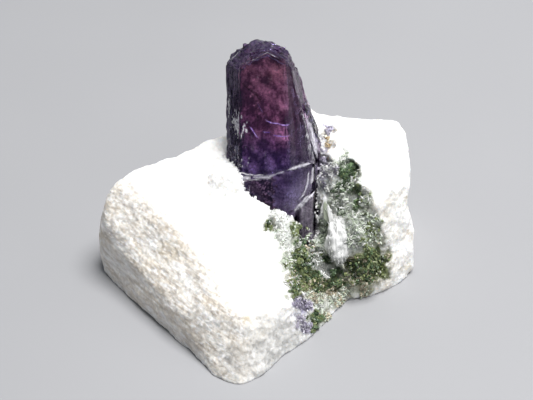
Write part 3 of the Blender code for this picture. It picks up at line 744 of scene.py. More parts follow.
def end_glow_at(x, y, z):
    """The colour under the crystal's end: dark violet in curved bands."""
    spot = Vector((x, y, z))
    ripple = (spot - TERRACE_CENTRE).length * TERRACES_A_MM * END_RIPPLE
    ripple += noise.noise(spot / END_WANDER_SIZE)
    cloud = 0.5 + 0.5 * math.sin(ripple * math.tau) + 0.4 * noise.noise(spot / END_SPECK_SIZE)
    return (*mixed(END_DARK, END_LIGHT, clipped(cloud, END_MOST)), END_COVER)


def sheet_finish():
    """A healed fracture in the crystal, with fine lines and clouds."""
    f = Finish("healed_fractures")
    own = f.add("ShaderNodeAttribute", attribute_name="glow")
    fine = f.ramp(f.noise(0.28 * MM, 4.0, 0.7), [(0.3, 0.35), (0.7, 1.65)])
    f.wire(Base_Color=f.mix(1.0, own.outputs["Color"], fine, "MULTIPLY"))
    f.wire(Alpha=own.outputs["Alpha"])
    f.put(Roughness=0.4, IOR=1.3)
    return f.material


def sheet(name, surface, start_at, way, across, along, depth, wave, colour_at, finish):
    """A crumpled sheet a little under a side of the crystal. start_at gives a point outside that side."""
    heading = CRYSTAL_STAND @ way
    in_front = way.z == 0
    columns, rows = (int((high - low) / GLOW_STEP) for low, high in (across, along))
    bm = bmesh.new()
    layer = bm.verts.layers.float_color.new("glow")
    grid = {}
    for i in range(columns + 1):
        for j in range(rows + 1):
            start = start_at(across[0] + i * GLOW_STEP, along[0] + j * GLOW_STEP)
            hit, normal = surface.ray_cast(own_frame(*start), heading)[:2]
            if hit is None:
                continue
            lifted = (CRYSTAL_STAND.inverted() @ normal).z > END_LIFT
            if lifted == in_front and not (in_front and start.x > SLIVER_FROM):
                continue
            deep = depth + wave * (noise.fractal(start / 1.4 + SHEET_OFFSET, 0.9, LACUNARITY, 4) + 0.3)
            deep = max(0.1, deep * np.interp(start.x, *DEPTH_SHARES)) * MM
            far = surface.ray_cast(hit + heading * deep, heading)[3]
            if far is None or far < THINNEST * MM:
                continue
            vert = bm.verts.new(hit + heading * deep)
            vert[layer] = colour_at(*(TO_OWN @ vert.co))
            grid[i, j] = vert
    for i, j in list(grid):
        corners = [grid.get(spot) for spot in ((i, j), (i + 1, j), (i + 1, j + 1), (i, j + 1))]
        if all(corners) and max((a.co - b.co).length for a in corners for b in corners) < SHEET_JUMP:
            bm.faces.new(corners).smooth = True
    bmesh.ops.delete(bm, geom=[v for v in bm.verts if not v.link_faces], context="VERTS")
    return new_object(name, mesh_from(bm, name), finish, "scapolite")


def sheets(surface):
    """The fractures that the light catches inside the crystal: under its front and under its end."""
    finish = sheet_finish()
    sheet(
        "fractures_front", surface, lambda x, z: Vector((x, IN_FRONT, z)), Vector((0, 1, 0)),
        FRONT_ACROSS, FRONT_ALONG, FRONT_DEPTH, FRONT_WAVE, glow_at, finish,
    )
    sheet(
        "fractures_end", surface, lambda x, y: Vector((x, y, ABOVE)), Vector((0, 0, -1)),
        END_ACROSS, END_ALONG, END_DEPTH, END_WAVE, end_glow_at, finish,
    )


# Lines on the crystal: their points, the width of the strip, and how much of it is missing from 0 to 1
PALE_LINES_AND_HIGHLIGHTS = [
    ([(-2.9, -3.7, 4.0), (-2.3, -3.9, 3.9), (-0.71, -3.9, 3.95), (0.4, -3.9, 4.1), (1.5, -3.9, 4.6)],
     0.12, 0.15),
    ([(1.5, -3.9, 4.6), (2.2, -3.9, 5.0), (2.9, -3.9, 5.3), (4.1, -2.66, 5.4)], 0.12, 0.1),
    ([(-2.9, -3.9, 3.5), (-2.6, -3.9, 3.85), (-2.3, -3.9, 3.5), (-2.6, -3.9, 3.15), (-2.9, -3.9, 3.4)],
     0.16, 0.1),
    ([(3.9, -2.9, 11.9), (4.27, -2.6, 11.18), (4.75, -2.3, 9.3), (5.2, -2.0, 7.2), (5.6, -1.6, 5.6)],
     0.08, 0.25),
    ([(-2.78, -3.9, 17.3), (-1.2, -3.9, 18.2), (0.38, -3.9, 19.13), (2.57, -3.9, 18.25)], 0.10, 0.35),
    # painted silvery highlight along the end's left edge
    ([(-4.9, -1.9, 17.0), (-3.6, 0.4, 18.8), (-2.4, 1.8, 20.2)], 0.14, 0.35),
    # painted highlight along the upper right rim
    ([(2.4, -3.6, 18.2), (3.0, -2.4, 16.6), (3.6, -1.4, 14.4), (4.0, -0.8, 13.0)], 0.05, 0.3),
]
# Soft lines: the haze along the healed crack, the facet's rim below it, and the frosted edge on the right
SOFT_LINES = [
    ([(-3.2, -3.6, 4.05), (-2.3, -3.9, 3.95), (-0.71, -3.9, 4.0), (0.4, -3.9, 4.15), (1.5, -3.9, 4.6)],
     0.85, 0.0),
    ([(1.2, -3.9, 4.5), (2.2, -3.9, 5.0), (2.9, -3.9, 5.3), (4.1, -2.66, 5.45), (5.31, -1.44, 5.55)],
     0.66, 0.0),
    ([(-3.2, -3.6, 4.7), (-2.2, -3.9, 4.5), (-0.9, -3.9, 4.35), (0.2, -3.9, 4.5)], 0.5, 0.25),
    ([(-2.6, -3.7, 3.4), (-1.6, -3.9, 3.6), (-0.6, -3.9, 3.75)], 0.4, 0.2),
    ([(4.15, -2.6, 12.4), (4.6, -2.4, 10.4), (5.1, -2.0, 8.2), (5.55, -1.6, 5.8)], 0.34, 0.0),
    ([(4.35, -2.5, 11.8), (4.85, -2.2, 9.7), (5.35, -1.8, 7.4)], 0.26, 0.1),
    ([(4.6, -2.2, 11.6), (5.15, -1.8, 9.0), (5.6, -1.2, 6.4)], 0.75, 0.0),
    ([(4.75, -1.9, 10.6), (5.3, -1.5, 8.2), (5.55, -1.2, 5.8)], 0.75, 0.0),
    ([(5.35, -1.2, 5.1), (5.3, -1.25, 3.9), (5.15, -1.4, 2.6)], 0.6, 0.0),
    ([(4.9, -1.6, 4.6), (4.8, -1.7, 3.2), (4.5, -2.0, 2.0), (3.9, -2.6, 1.0)], 0.9, 0.3),
]
# The rim of the curved facet low on the right, in front of its edge
RIM_LINES = [
    ([(3.6, -2.3, -0.25), (4.1, -2.74, 0.30), (4.7, -2.76, 0.98), (5.3, -2.74, 1.66), (5.8, -1.9, 2.25)],
     0.62, 0.0),
    ([(3.2, -2.6, -0.55), (4.0, -2.85, 0.55), (4.7, -2.85, 1.35), (5.3, -2.80, 2.05)], 0.5, 0.0),
    ([(3.6, -2.5, -0.1), (4.3, -2.85, 0.65), (5.0, -2.85, 1.45)], 0.26, 0.0),
]
# Where short strokes lie side by side: middle, spread across and along, number, length, width
PALE_STROKES_AND_HIGHLIGHTS = [
    ((-4.0, -2.9, 7.6), 0.6, 1.6, 12, 0.3, 0.07),
    ((-2.8, -3.7, 5.4), 0.8, 0.8, 20, 0.2, 0.12),
    ((5.0, -2.1, 8.8), 0.42, 1.8, 40, 1.3, 0.07),
    ((5.5, -1.7, 6.6), 0.36, 1.2, 30, 1.0, 0.07),
    ((3.4, -3.4, 3.4), 0.9, 1.1, 5, 0.9, 0.02),
    ((2.9, -3.8, 0.8), 0.7, 0.5, 18, 0.22, 0.06),
    ((4.9, -2.2, -0.8), 0.7, 1.0, 9, 1.3, 0.05),
    # painted highlights on the crystal's end: silvery strokes by its top left edge and a bright spot at its
    # top
    ((-3.6, -1.0, 18.6), 0.8, 0.5, 12, 0.8, 0.07),
    ((1.0, -1.3, 19.6), 0.5, 0.2, 10, 0.6, 0.16),
    ((-0.8, -3.8, 8.2), 1.6, 2.2, 8, 0.5, 0.03),
    ((0.6, -3.8, 16.2), 1.0, 0.9, 12, 0.2, 0.05),
]
# Ragged flakes where the left edge is chipped: middle, spread across and along, number, length, width
FLAKES = [
    ((-3.4, -3.3, 10.4), 0.9, 1.0, 80, 0.34, 0.11),
    ((-3.1, -3.6, 9.4), 0.45, 0.6, 34, 0.22, 0.09),
    ((-4.6, -2.2, 12.2), 0.3, 1.5, 34, 0.30, 0.09),
    ((-3.0, -3.6, 6.0), 0.6, 1.2, 20, 0.14, 0.06),
    ((-2.2, -3.8, 2.6), 0.9, 0.8, 26, 0.07, 0.05),
]
FLAKE_LIFT = 0.03  # millimetres
# Dark streaks down the left side, whose inner ones also paint shade over the bright left front edge: middle,
# spread across and along, number, length, width
DARK_STREAKS_AND_SHADE = [
    ((-4.1, -2.7, 7.0), 0.9, 3.6, 46, 1.5, 0.20),
    ((-4.1, -2.7, 13.0), 0.9, 3.6, 46, 1.5, 0.20),
    ((-3.15, -3.6, 7.0), 0.6, 3.6, 50, 1.5, 0.16),
    ((-3.15, -3.6, 13.0), 0.6, 3.6, 50, 1.5, 0.16),
]
DARK_LINES = [
    ([(3.7, -3.1, 12.0), (4.1, -2.8, 10.6), (4.45, -2.5, 9.4)], 0.16, 0.1),
    ([(4.4, -2.5, 11.6), (4.9, -2.2, 9.6), (5.3, -1.9, 7.6)], 0.07, 0.1),
    ([(0.9, -3.0, 19.3), (1.8, -2.9, 18.9), (2.5, -3.0, 18.5)], 0.18, 0.1),
    ([(-2.6, -3.9, 16.9), (0.3, -3.9, 18.7), (2.4, -3.9, 17.9)], 0.05, 0.3),
]
# Cracks inside the crystal, which catch the light or stay dark
BRIGHT_CRACKS = [
    ([(0.2, -3.5, 11.1), (0.9, -3.5, 10.9), (1.6, -3.5, 10.85), (2.3, -3.5, 10.7), (3.0, -3.3, 10.7)],
     0.16, 0.0),
    ([(0.9, -3.5, 9.5), (1.6, -3.5, 9.35), (2.2, -3.5, 9.35), (3.0, -3.3, 9.4)], 0.13, 0.0),
    ([(-1.7, -3.5, 10.3), (-1.3, -3.5, 9.8), (-1.0, -3.5, 9.3), (-0.6, -3.5, 8.9)], 0.18, 0.0),
    ([(-0.2, -3.5, 9.8), (0.3, -3.5, 9.7), (0.8, -3.5, 9.75)], 0.12, 0.1),
    ([(-0.9, -3.2, 13.4), (-0.2, -3.2, 12.2), (0.4, -3.2, 10.9)], 0.05, 0.4),
]
DARK_CRACKS = [
    ([(-2.7, -3.6, 15.5), (-1.9, -3.6, 14.7), (-1.0, -3.6, 14.2), (-0.2, -3.6, 13.1)], 0.34, 0.0),
    ([(-1.0, -3.6, 12.9), (-0.7, -3.6, 11.2), (-0.9, -3.6, 9.7)], 0.20, 0.2),
]
SOFT_ROWS, SOFT_COVER = (-1, 0, 1), (0, 1, 0)  # a soft strip's rows of points, and how much each row covers
STRIP_STEP, STRIP_LIFT = 0.06, 0.015
STRAY_SIZE, STRAY_SEEDS = 0.6, (3.1, 7.7, 12.9)
RAGGED_COARSE, RAGGED_FINE, RAGGED_OFFSET = 0.35, 0.12, Vector((0, 5.5, 0))  # sizes of a strip's ragged edge
STRIP_WHOLE, STRIP_GAPS, STRIP_ENDS = 0.85, 1.3, 5  # its width, what gaps take off, how fast its ends grow
STRIP_JUMP = 0.12 * MM  # a strip breaks off where the next side is further away
STROKE_TILT, STROKE_WANDER = 0.12, 0.03
END_FROM = 16.0  # above this, lines are laid on the nearest surface
FROST_FROM = 2.7  # strokes right of this are thin frost


def seat_on(surface, spot):
    """The surface in front of a spot, or the nearest place at the crystal's end, with its normal."""
    if spot.z < END_FROM:
        place, normal = surface.ray_cast(own_frame(spot.x, IN_FRONT, spot.z), INWARD)[:2]
        if place is not None:
            return place, normal
    return surface.find_nearest(own_frame(*spot))[:2]


def strip(points, width, missing, surface=None, wander=0.07, ragged=0.65, rows=(-1, 1), even=1):
    """A thin ragged strip through points of the crystal's frame, in millimetres.

    It lies on the surface if that is given. rows says where its points are across it, and even how many
    neighbours each place is evened out with.
    """
    path = [Vector(points[0])]
    for start, end in zip(points, points[1:]):
        steps = max(1, int((Vector(end) - Vector(start)).length / STRIP_STEP))
        path.extend(Vector(start).lerp(Vector(end), (n + 1) / steps) for n in range(steps))
    last = len(path) - 1
    places, sides = [], []
    for n, spot in enumerate(path):
        ahead = (path[min(n + 1, last)] - path[max(n - 1, 0)]).normalized()
        stray = Vector([noise.noise(spot / STRAY_SIZE + Vector((k, 0, 0))) for k in STRAY_SEEDS]) * wander
        level = noise.noise(spot / RAGGED_COARSE + RAGGED_OFFSET) + 0.5 * noise.noise(spot / RAGGED_FINE)
        ends = min(1.0, STRIP_ENDS * n / len(path), STRIP_ENDS * (last - n) / len(path))
        half = 0.5 * width * max(0.0, ragged * level + STRIP_WHOLE - STRIP_GAPS * missing) * ends
        place, normal = own_frame(*(spot + stray)), -INWARD
        if surface:
            place, normal = seat_on(surface, spot + stray)
        places.append(place + normal * STRIP_LIFT * MM * even)
        sides.append((CRYSTAL_STAND @ ahead).cross(normal).normalized() * half)
    runs = [0]
    for before, place in zip(places, places[1:]):
        runs.append(runs[-1] + ((place - before).length > STRIP_JUMP))
    corners, faces = [], []
    for n, side in enumerate(sides):
        around = range(max(0, n - even + 1), min(n + even, len(places)))
        near = [places[k] for k in around if runs[k] == runs[n]]
        middle = sum(near, Vector()) / len(near)
        corners += [middle + side * row * MM for row in rows]
        if n and side.length > 0.01 * width and runs[n] == runs[n - 1]:
            new, old = len(corners) - len(rows), len(corners) - 2 * len(rows)
            faces.extend((old + k, new + k, new + k + 1, old + k + 1) for k in range(len(rows) - 1))
    return np.array(corners), faces


def strokes(rng, middle, across, along, count, length, width, surface):
    """Short strips along the crystal, side by side."""
    for _ in range(count):
        spot = Vector(middle) + Vector((rng.gauss(0, across * 0.6), 0, rng.gauss(0, along * 0.5)))
        half = Vector((rng.gauss(0, STROKE_TILT / length), 0, 1)) * length * rng.uniform(0.25, 0.75)
        wide, missing = width * rng.uniform(0.5, 1.4), rng.uniform(0.0, 0.4)
        yield strip([spot - half, spot + half], wide, missing, surface, STROKE_WANDER)


def flakes(rng, middle, across, along, count, length, width, surface):
    """Small ragged flakes that lie on the surface, longer along the crystal."""
    for _ in range(count):
        spot = Vector(middle) + Vector((rng.gauss(0, across * 0.6), 0, rng.gauss(0, along * 0.6)))
        place, normal = surface.find_nearest(own_frame(*spot))[:2]
        side = (CRYSTAL_STAND @ Vector((rng.gauss(0, 0.25), 0, 1))).cross(normal).normalized()
        up = normal.cross(side)
        size = rng.uniform(0.4, 1.3)
        sides = rng.randint(5, 8)
        corners = []
        for n in range(sides):
            angle = math.tau * (n + rng.uniform(-0.3, 0.3)) / sides
            reach = size * rng.uniform(0.4, 1.0)
            flat = side * math.cos(angle) * width * reach + up * math.sin(angle) * length * reach
            corners.append(place + (normal * FLAKE_LIFT + flat) * MM)
        yield np.array(corners), [tuple(range(sides))]


def bruises(surface):
    """The crystal's healed crack, chipped edges, scratches and inner cracks, plus painted highlights and
    shade, as thin strips.
    """
    rng = random.Random(21)
    pale, frost = [strip(*line, surface) for line in PALE_LINES_AND_HIGHLIGHTS], []
    soft = [strip(*line, surface, wander=0.12, ragged=0.3, rows=SOFT_ROWS, even=5) for line in SOFT_LINES]
    soft += [strip(*line, wander=0.10, ragged=0.3, rows=SOFT_ROWS) for line in RIM_LINES]
    dark = [strip(*line, surface) for line in DARK_LINES]
    for patch in DARK_STREAKS_AND_SHADE:
        dark.extend(strokes(rng, *patch, surface))
    chipped = [shape for patch in FLAKES for shape in flakes(rng, *patch, surface)]
    for patch in PALE_STROKES_AND_HIGHLIGHTS:
        (frost if patch[0][0] > FROST_FROM else pale).extend(strokes(rng, *patch, surface))
    bright = [strip(*line, surface) for line in BRIGHT_CRACKS]
    inner = [strip(*line) for line in DARK_CRACKS]
    for name, shapes, *finish in (
        # pale marks: the healed crack, chips and scratches, with painted silvery highlights along the end's
        # edges and the upper right rim
        ("bruises_pale", pale, "bruise_pale", (0.30, 0.27, 0.36), (0.86, 0.84, 0.88)),
        ("frost", frost, "bruise_frost", (0.62, 0.58, 0.66), (0.90, 0.88, 0.92), (0.1, 0.75)),
        ("chips", chipped, "chips", (0.38, 0.36, 0.45), (0.88, 0.87, 0.90), (0.4, 1.0)),
        # dark marks and streaks, with painted shade over the left front edge
        ("bruises_dark", dark, "bruise_dark", (0.01, 0.008, 0.02), (0.05, 0.04, 0.07), (0.3, 1.0), 0.0),
        ("cracks_bright", bright, "crack_bright", (0.16, 0.06, 0.42), (0.62, 0.42, 0.92), (0.6, 1.0)),
        ("cracks_dark", inner, "crack_dark", (0.02, 0.005, 0.015), (0.08, 0.02, 0.04)),
    ):
        add_shapes(name, shapes, line_finish(*finish), "scapolite")
    haze = add_shapes("haze", soft, haze_finish(), "scapolite").data
    cover = np.tile(np.array(SOFT_COVER, np.float32), len(haze.vertices) // len(SOFT_ROWS))
    haze.attributes.new("cover", "FLOAT", "POINT").data.foreach_set("value", cover)


def haze_finish():
    """Milky healed cracks, fading out to both sides."""
    f = Finish("haze_soft")
    milk = f.ramp(f.noise(0.3 * MM, 4.0, 0.6), [(0.3, (0.58, 0.55, 0.64)), (0.65, (0.90, 0.88, 0.93))])
    uneven = f.ramp(f.noise(0.25 * MM, 4.0, 0.7), [(0.32, 0.45), (0.58, 1.0)])
    f.wire(Base_Color=milk, Alpha=f.times(f.attribute("cover"), uneven))
    f.put(Roughness=0.5, IOR=1.4)
    return f.material


def line_finish(name, dark, light, cover=(0.25, 1.0), gloss=0.5):
    f = Finish(name)
    f.wire(Base_Color=f.ramp(f.noise(0.25 * MM, 3.0, 0.6), [(0.35, dark), (0.62, light)]))
    f.wire(Alpha=f.ramp(f.noise(0.30 * MM, 4.0, 0.7), [(0.36, cover[0]), (0.60, cover[1])]))
    f.put(Roughness=0.4, IOR=1.4, Specular_IOR_Level=gloss)
    return f.material


# Grains

POINTED = 0.35  # the share of the grains that have a point
UPRIGHT = 0.5  # how far they stand up from the surface, from 0 to 1
NEIGHBOURS = [(i, j, k) for i in (-1, 0, 1) for j in (-1, 0, 1) for k in (-1, 0, 1)]


def block_shape(rng):
    """A stubby crystal: a prism of four to six sides whose ends are cut at a slant."""
    sides = rng.choice((4, 4, 5, 6))
    slant = [Vector((rng.uniform(-0.5, 0.5), rng.uniform(-0.5, 0.5))) for _ in range(2)]
    taper = rng.uniform(0.55, 1.0)
    corners = []
    for end, share in ((-1, 1.0), (1, taper)):
        for n in range(sides):
            angle = math.tau * (n + rng.uniform(-0.15, 0.15)) / sides
            flat = Vector((math.cos(angle), math.sin(angle))) * 0.5 * share
            corners.append((flat.x, flat.y, end * 0.5 + flat.dot(slant[end > 0])))
    faces = [tuple(reversed(range(sides))), tuple(range(sides, 2 * sides))]
    faces += [(n, (n + 1) % sides, sides + (n + 1) % sides, sides + n) for n in range(sides)]
    return np.array(corners), faces


def pointed_shape(rng):
    """A crystal with a point: a prism under a low pyramid."""
    corners, faces = block_shape(rng)
    sides = len(corners) // 2
    corners[sides:, 2] = 0.25
    tip = np.array([[rng.uniform(-0.1, 0.1), rng.uniform(-0.1, 0.1), 0.75]])
    faces.pop(1)
    faces += [(sides + n, sides + (n + 1) % sides, 2 * sides) for n in range(sides)]
    return np.concatenate([corners, tip]), faces


def spun(way, rng):
    """A turn that points a shape's length that way, spun at random about it."""
    return way.to_track_quat("Z", "Y").to_matrix() @ Matrix.Rotation(rng.uniform(0, 6.28), 3, "Z")


def stood(corners, size, turn, middle):
    """The corners, made as large as size says, then turned and moved."""
    return (corners * size) @ np.array(turn).T + np.array(middle)


def grain(rng, spot, normal, size, long=1.0):
    """The points and faces of one grain that sits in the surface at spot."""
    corners, faces = (pointed_shape if rng.random() < POINTED else block_shape)(rng)
    loose = Vector([rng.gauss(0, 1) for _ in range(3)]).normalized()
    turn = spun((normal * UPRIGHT + loose * (1 - UPRIGHT)).normalized(), rng)
    shape = np.array([rng.uniform(0.7, 1.15), rng.uniform(0.7, 1.15), rng.uniform(0.8, 1.5) * long]) * size
    points = stood(corners, shape, turn, spot + normal * size * rng.uniform(-0.05, 0.28))
    points[:, 2] = np.maximum(points[:, 2], 0.0)
    return points, faces


def spread(candidates, spacing, rng):
    """Picks places, each a pair of a point and a normal, no two nearer than spacing."""
    order = list(candidates)
    rng.shuffle(order)
    taken, chosen = {}, []
    for point, normal in order:
        cell = tuple(math.floor(c / spacing) for c in point)
        around = [tuple(c + step for c, step in zip(cell, steps)) for steps in NEIGHBOURS]
        if all((point - other).length > spacing for c in around for other in taken.get(c, ())):
            taken.setdefault(cell, []).append(point)
            chosen.append((point, normal))
    return chosen


# Camera


def camera_axes():
    forward = Vector((0, math.cos(CAMERA_RISE), -math.sin(CAMERA_RISE)))
    return Vector((1, 0, 0)), Vector((0, math.sin(CAMERA_RISE), math.cos(CAMERA_RISE))), forward


def camera_place():
    return LOOK_AT - camera_axes()[2] * CAMERA_DISTANCE


def pixels_of(points):
    """Where a point or an array of points shows in the photograph: across and down."""
    right, up, forward = (np.array(axis) for axis in camera_axes())
    away = np.array(points) - np.array(camera_place())
    scale = PICTURE_WIDTH * LENS / SENSOR / (away @ forward)
    return PICTURE_WIDTH / 2 + away @ right * scale, PICTURE_HEIGHT / 2 - away @ up * scale


def in_view(point, tree, slack=VIEW_SLACK):
    """Whether the camera sees the surface at this point."""
    eye = camera_place()
    hit = tree.ray_cast(eye, (point - eye).normalized())[0]
    return hit is not None and (hit - point).length < slack


def add_camera():
    data = bpy.data.cameras.new("camera")
    data.lens = LENS
    data.sensor_width = SENSOR
    data.clip_start = 1 * MM
    made = placed("camera", data)
    made.location = camera_place()
    made.rotation_euler = (math.radians(90) - CAMERA_RISE, 0, 0)
    bpy.context.scene.camera = made


# The crusts: clumps of grains by pixel, radius in pixels, and how much there is of each kind of grain
CLUMPS = [
    ((349, 172), 9, {"dark": 8, "olive": 1}), ((340, 165), 7, {"pale": 3, "white": 4, "dark": 2}),
    ((332, 172), 6, {"white": 5, "violet": 1}), ((337, 188), 7, {"dark": 4, "pale": 2, "white": 2}),
    ((327, 187), 6, {"white": 5, "clear": 3}), ((346, 186), 6, {"dark": 3, "pale": 2, "white": 1}),
    ((357, 191), 5, {"dark": 5, "olive": 2}), ((357, 204), 5, {"dark": 5, "olive": 2}),
    ((342, 201), 8, {"clear": 5, "white": 3, "pale": 2}),
    ((333, 201), 5, {"clear": 3, "pale": 2, "white": 2}), ((352, 214), 7, {"pale": 4, "white": 4}),
    ((344, 212), 5, {"pale": 3, "dark": 2, "white": 2}),
    ((358, 226), 9, {"pale": 5, "white": 4, "clear": 2}),
    ((366, 214), 5, {"olive": 2, "pale": 2, "white": 2}),
    ((355, 240), 8, {"pale": 5, "white": 3, "clear": 2}),
    ((372, 231), 7, {"pale": 4, "olive": 3, "white": 1}),
    ((366, 243), 7, {"pale": 4, "olive": 2, "white": 2}), ((371, 253), 8, {"olive": 6, "dark": 3}),
    ((362, 262), 8, {"olive": 4, "dark": 2, "tan": 2}), ((378, 264), 8, {"olive": 5, "dark": 2, "tan": 1}),
    ((384, 273), 5, {"olive": 6}), ((368, 276), 9, {"olive": 3, "dark": 4, "tan": 3}),
    ((350, 262), 8, {"tan": 3, "olive": 2, "clear": 3}),
    ((352, 277), 9, {"tan": 3, "olive": 2, "dark": 2, "clear": 2}),
    ((346, 290), 7, {"tan": 3, "pale": 3, "clear": 3}), ((338, 284), 7, {"dark": 5, "tan": 2, "olive": 3}),
    ((330, 281), 6, {"dark": 5, "olive": 2}), ((318, 286), 7, {"dark": 4, "olive": 3, "tan": 1}),
    ((300, 283), 7, {"dark": 3, "olive": 4}), ((356, 268), 8, {"dark": 5, "olive": 3}),
    ((372, 268), 7, {"olive": 4, "dark": 3}), ((329, 291), 6, {"tan": 6, "white": 1}),
    ((334, 300), 7, {"clear": 4, "pale": 3, "tan": 2}), ((336, 272), 5, {"dark": 8}),
    ((322, 271), 7, {"white": 10}), ((321, 255), 5, {"white": 8}), ((327, 260), 6, {"dark": 6, "olive": 2}),
    ((318, 250), 7, {"white": 4, "clear": 3, "pale": 2}),
    ((308, 247), 7, {"clear": 4, "tan": 3, "dark": 2}),
    ((302, 230), 11, {"olive": 7, "pale": 2, "white": 1}),
    ((312, 262), 7, {"clear": 4, "white": 3, "dark": 2}),
    ((298, 254), 8, {"olive": 6, "dark": 3, "pale": 1}), ((302, 270), 9, {"olive": 6, "dark": 4}),
    ((308, 257), 7, {"dark": 6, "olive": 2}), ((313, 277), 8, {"dark": 3, "olive": 3, "tan": 2}),
    ((324, 282), 6, {"tan": 4, "dark": 3, "olive": 2}), ((307, 286), 7, {"olive": 4, "tan": 3}),
    ((292, 293), 4, {"olive": 5, "dark": 2}), ((317, 318), 7, {"dark": 6, "olive": 3}),
    ((323, 307), 6, {"white": 3, "clear": 3, "pale": 2}), ((314, 326), 4, {"dark": 5, "olive": 3}),
    ((269, 226), 4, {"olive": 5, "dark": 2, "white": 2}), ((303, 305), 6, {"violet": 8}),
    ((301, 320), 6, {"violet": 4, "white": 4}), ((306, 328), 5, {"violet": 5, "white": 2}),
    ((322, 152), 4, {"violet": 5, "white": 3}), ((323, 163), 5, {"violet": 7, "white": 1}),
    ((323, 173), 4, {"violet": 6, "white": 2}), ((321, 183), 4, {"violet": 3, "white": 3}),
    ((329, 128), 3, {"violet": 3}), ((329, 147), 2.6, {"brown": 6}),
    ((327, 137), 4, {"brown": 1, "white": 5}), ((320, 141), 4, {"white": 4, "violet": 2}),
    ((325, 226), 6, {"pale": 3, "clear": 3, "olive": 1}),
    ((324, 239), 6, {"clear": 3, "pale": 2, "dark": 1}), ((323, 208), 4, {"clear": 3, "pale": 2}),
    ((274, 213), 6, {"white": 6, "clear": 1}), ((283, 219), 7, {"white": 6, "clear": 2}),
    ((283, 231), 9, {"white": 6, "clear": 3, "pale": 1}),
    ((286, 245), 7, {"white": 5, "clear": 3, "pale": 1}),
    ((289, 262), 7, {"white": 3, "pale": 3, "olive": 3}),
    ((303, 241), 7, {"dark": 4, "clear": 2, "olive": 1}),
    ((313, 238), 6, {"clear": 4, "pale": 3, "dark": 1}),
    ((294, 280), 6, {"white": 3, "tan": 2, "olive": 2}), ((315, 296), 8, {"tan": 4, "pale": 3, "clear": 2}),
    ((325, 316), 6, {"tan": 3, "pale": 3}), ((342, 301), 5, {"tan": 3, "pale": 3, "clear": 2}),
    ((363, 290), 6, {"tan": 4, "pale": 3, "olive": 1}),
    ((366, 200), 6, {"pale": 2, "olive": 2, "white": 5}),
    ((373, 220), 6, {"pale": 3, "olive": 2, "white": 4}),
    ((379, 240), 6, {"pale": 3, "olive": 2, "tan": 2, "white": 2}),
    ((384, 257), 6, {"pale": 2, "olive": 4, "tan": 2}), ((347, 158), 6, {"white": 6, "pale": 2}),
    ((355, 178), 5, {"pale": 2, "white": 5, "dark": 1}),
]
GRAIN_SIZES = {  # millimetres, and how many times as long as wide
    "dark": (0.30, 1.0), "olive": (0.30, 1.0), "pale": (0.24, 1.3), "white": (0.17, 1.9),
    "clear": (0.19, 1.6), "tan": (0.24, 1.0), "violet": (0.32, 1.1), "brown": (0.45, 1.0),
}
GRAIN_STEPS = (0.5, 0.7, 0.9, 1.0, 1.3)  # how large a grain is, times its kind's size
GRAIN_WINDOW = (260, 395), (120, 335)  # the pixels across and down that hold all the grains
GRAIN_SPACING = 0.125 * MM
SITES_A_FACE = 3
WANDER, WANDER_SIZE = 6.0, 9.0  # pixels
GROUND_REACH = 1.7  # the ground is coloured this much further out than the clumps, whose radius is 1
GROUND_COLOURS = {
    "dark": (0.05, 0.08, 0.04), "olive": (0.12, 0.14, 0.05), "pale": (0.34, 0.38, 0.29),
    "white": (0.66, 0.67, 0.64), "clear": (0.46, 0.50, 0.45), "tan": (0.36, 0.32, 0.22),
    "violet": (0.36, 0.33, 0.46), "brown": (0.45, 0.34, 0.20),
}
# Beige stains on the marble, and painted beige shade on the right block's front and along its right edge:
# pixel, radius in pixels, strength
STAINS_AND_SHADE = [
    ((247, 320), 7, 0.9), ((168, 251), 16, 0.5), ((190, 285), 14, 0.3), ((377, 212), 18, 0.35),
    ((395, 262), 14, 0.35), ((392, 232), 12, 0.25), ((384, 282), 16, 0.5), ((388, 181), 1.6, 1.0),
    ((326, 136), 7, 0.4), ((262, 330), 12, 0.2), ((100, 238), 12, 0.5), ((400, 200), 14, 0.25),
    ((382, 215), 15, 0.45), ((373, 206), 8, 0.45), ((400, 264), 12, 0.35), ((406, 238), 9, 0.35),
    ((405, 205), 8, 0.3), ((386, 205), 10, 0.5), ((408, 200), 7, 0.6), ((410, 235), 7, 0.6),
    ((406, 268), 9, 0.6), ((376, 262), 10, 0.5),
]
# Painted grey shade on the marble, which makes it duller towards its front corner, where its relief is also
# raised: pixel, radius in pixels, strength
PAINTED_SHADE_SPOTS = [
    ((272, 345), 34, 0.75), ((244, 358), 26, 0.6), ((285, 330), 18, 0.7), ((250, 335), 14, 0.6),
    ((262, 318), 10, 0.3), ((232, 330), 14, 0.3),
]


def wandered(u, v):
    """The pixel, moved a little, so that the clumps' edges wander."""
    spot = Vector((u, v, 0)) / WANDER_SIZE
    return u + WANDER * clouds(spot), v + WANDER * clouds(spot + Vector((0, 0, 9)))


def kind_at(u, v, rng):
    """The kind of grain at a pixel, or None away from the clumps."""
    shares = {}
    u, v = wandered(u, v)
    for (x, y), radius, kinds in CLUMPS:
        nearness = 1.0 - math.hypot(u - x, v - y) / radius
        if nearness > 0:
            for kind, share in kinds.items():
                shares[kind] = shares.get(kind, 0.0) + share * nearness
    if not shares or sum(shares.values()) < rng.uniform(0.0, 2.0) ** 2:
        return None
    return rng.choices(list(shares), list(shares.values()))[0]


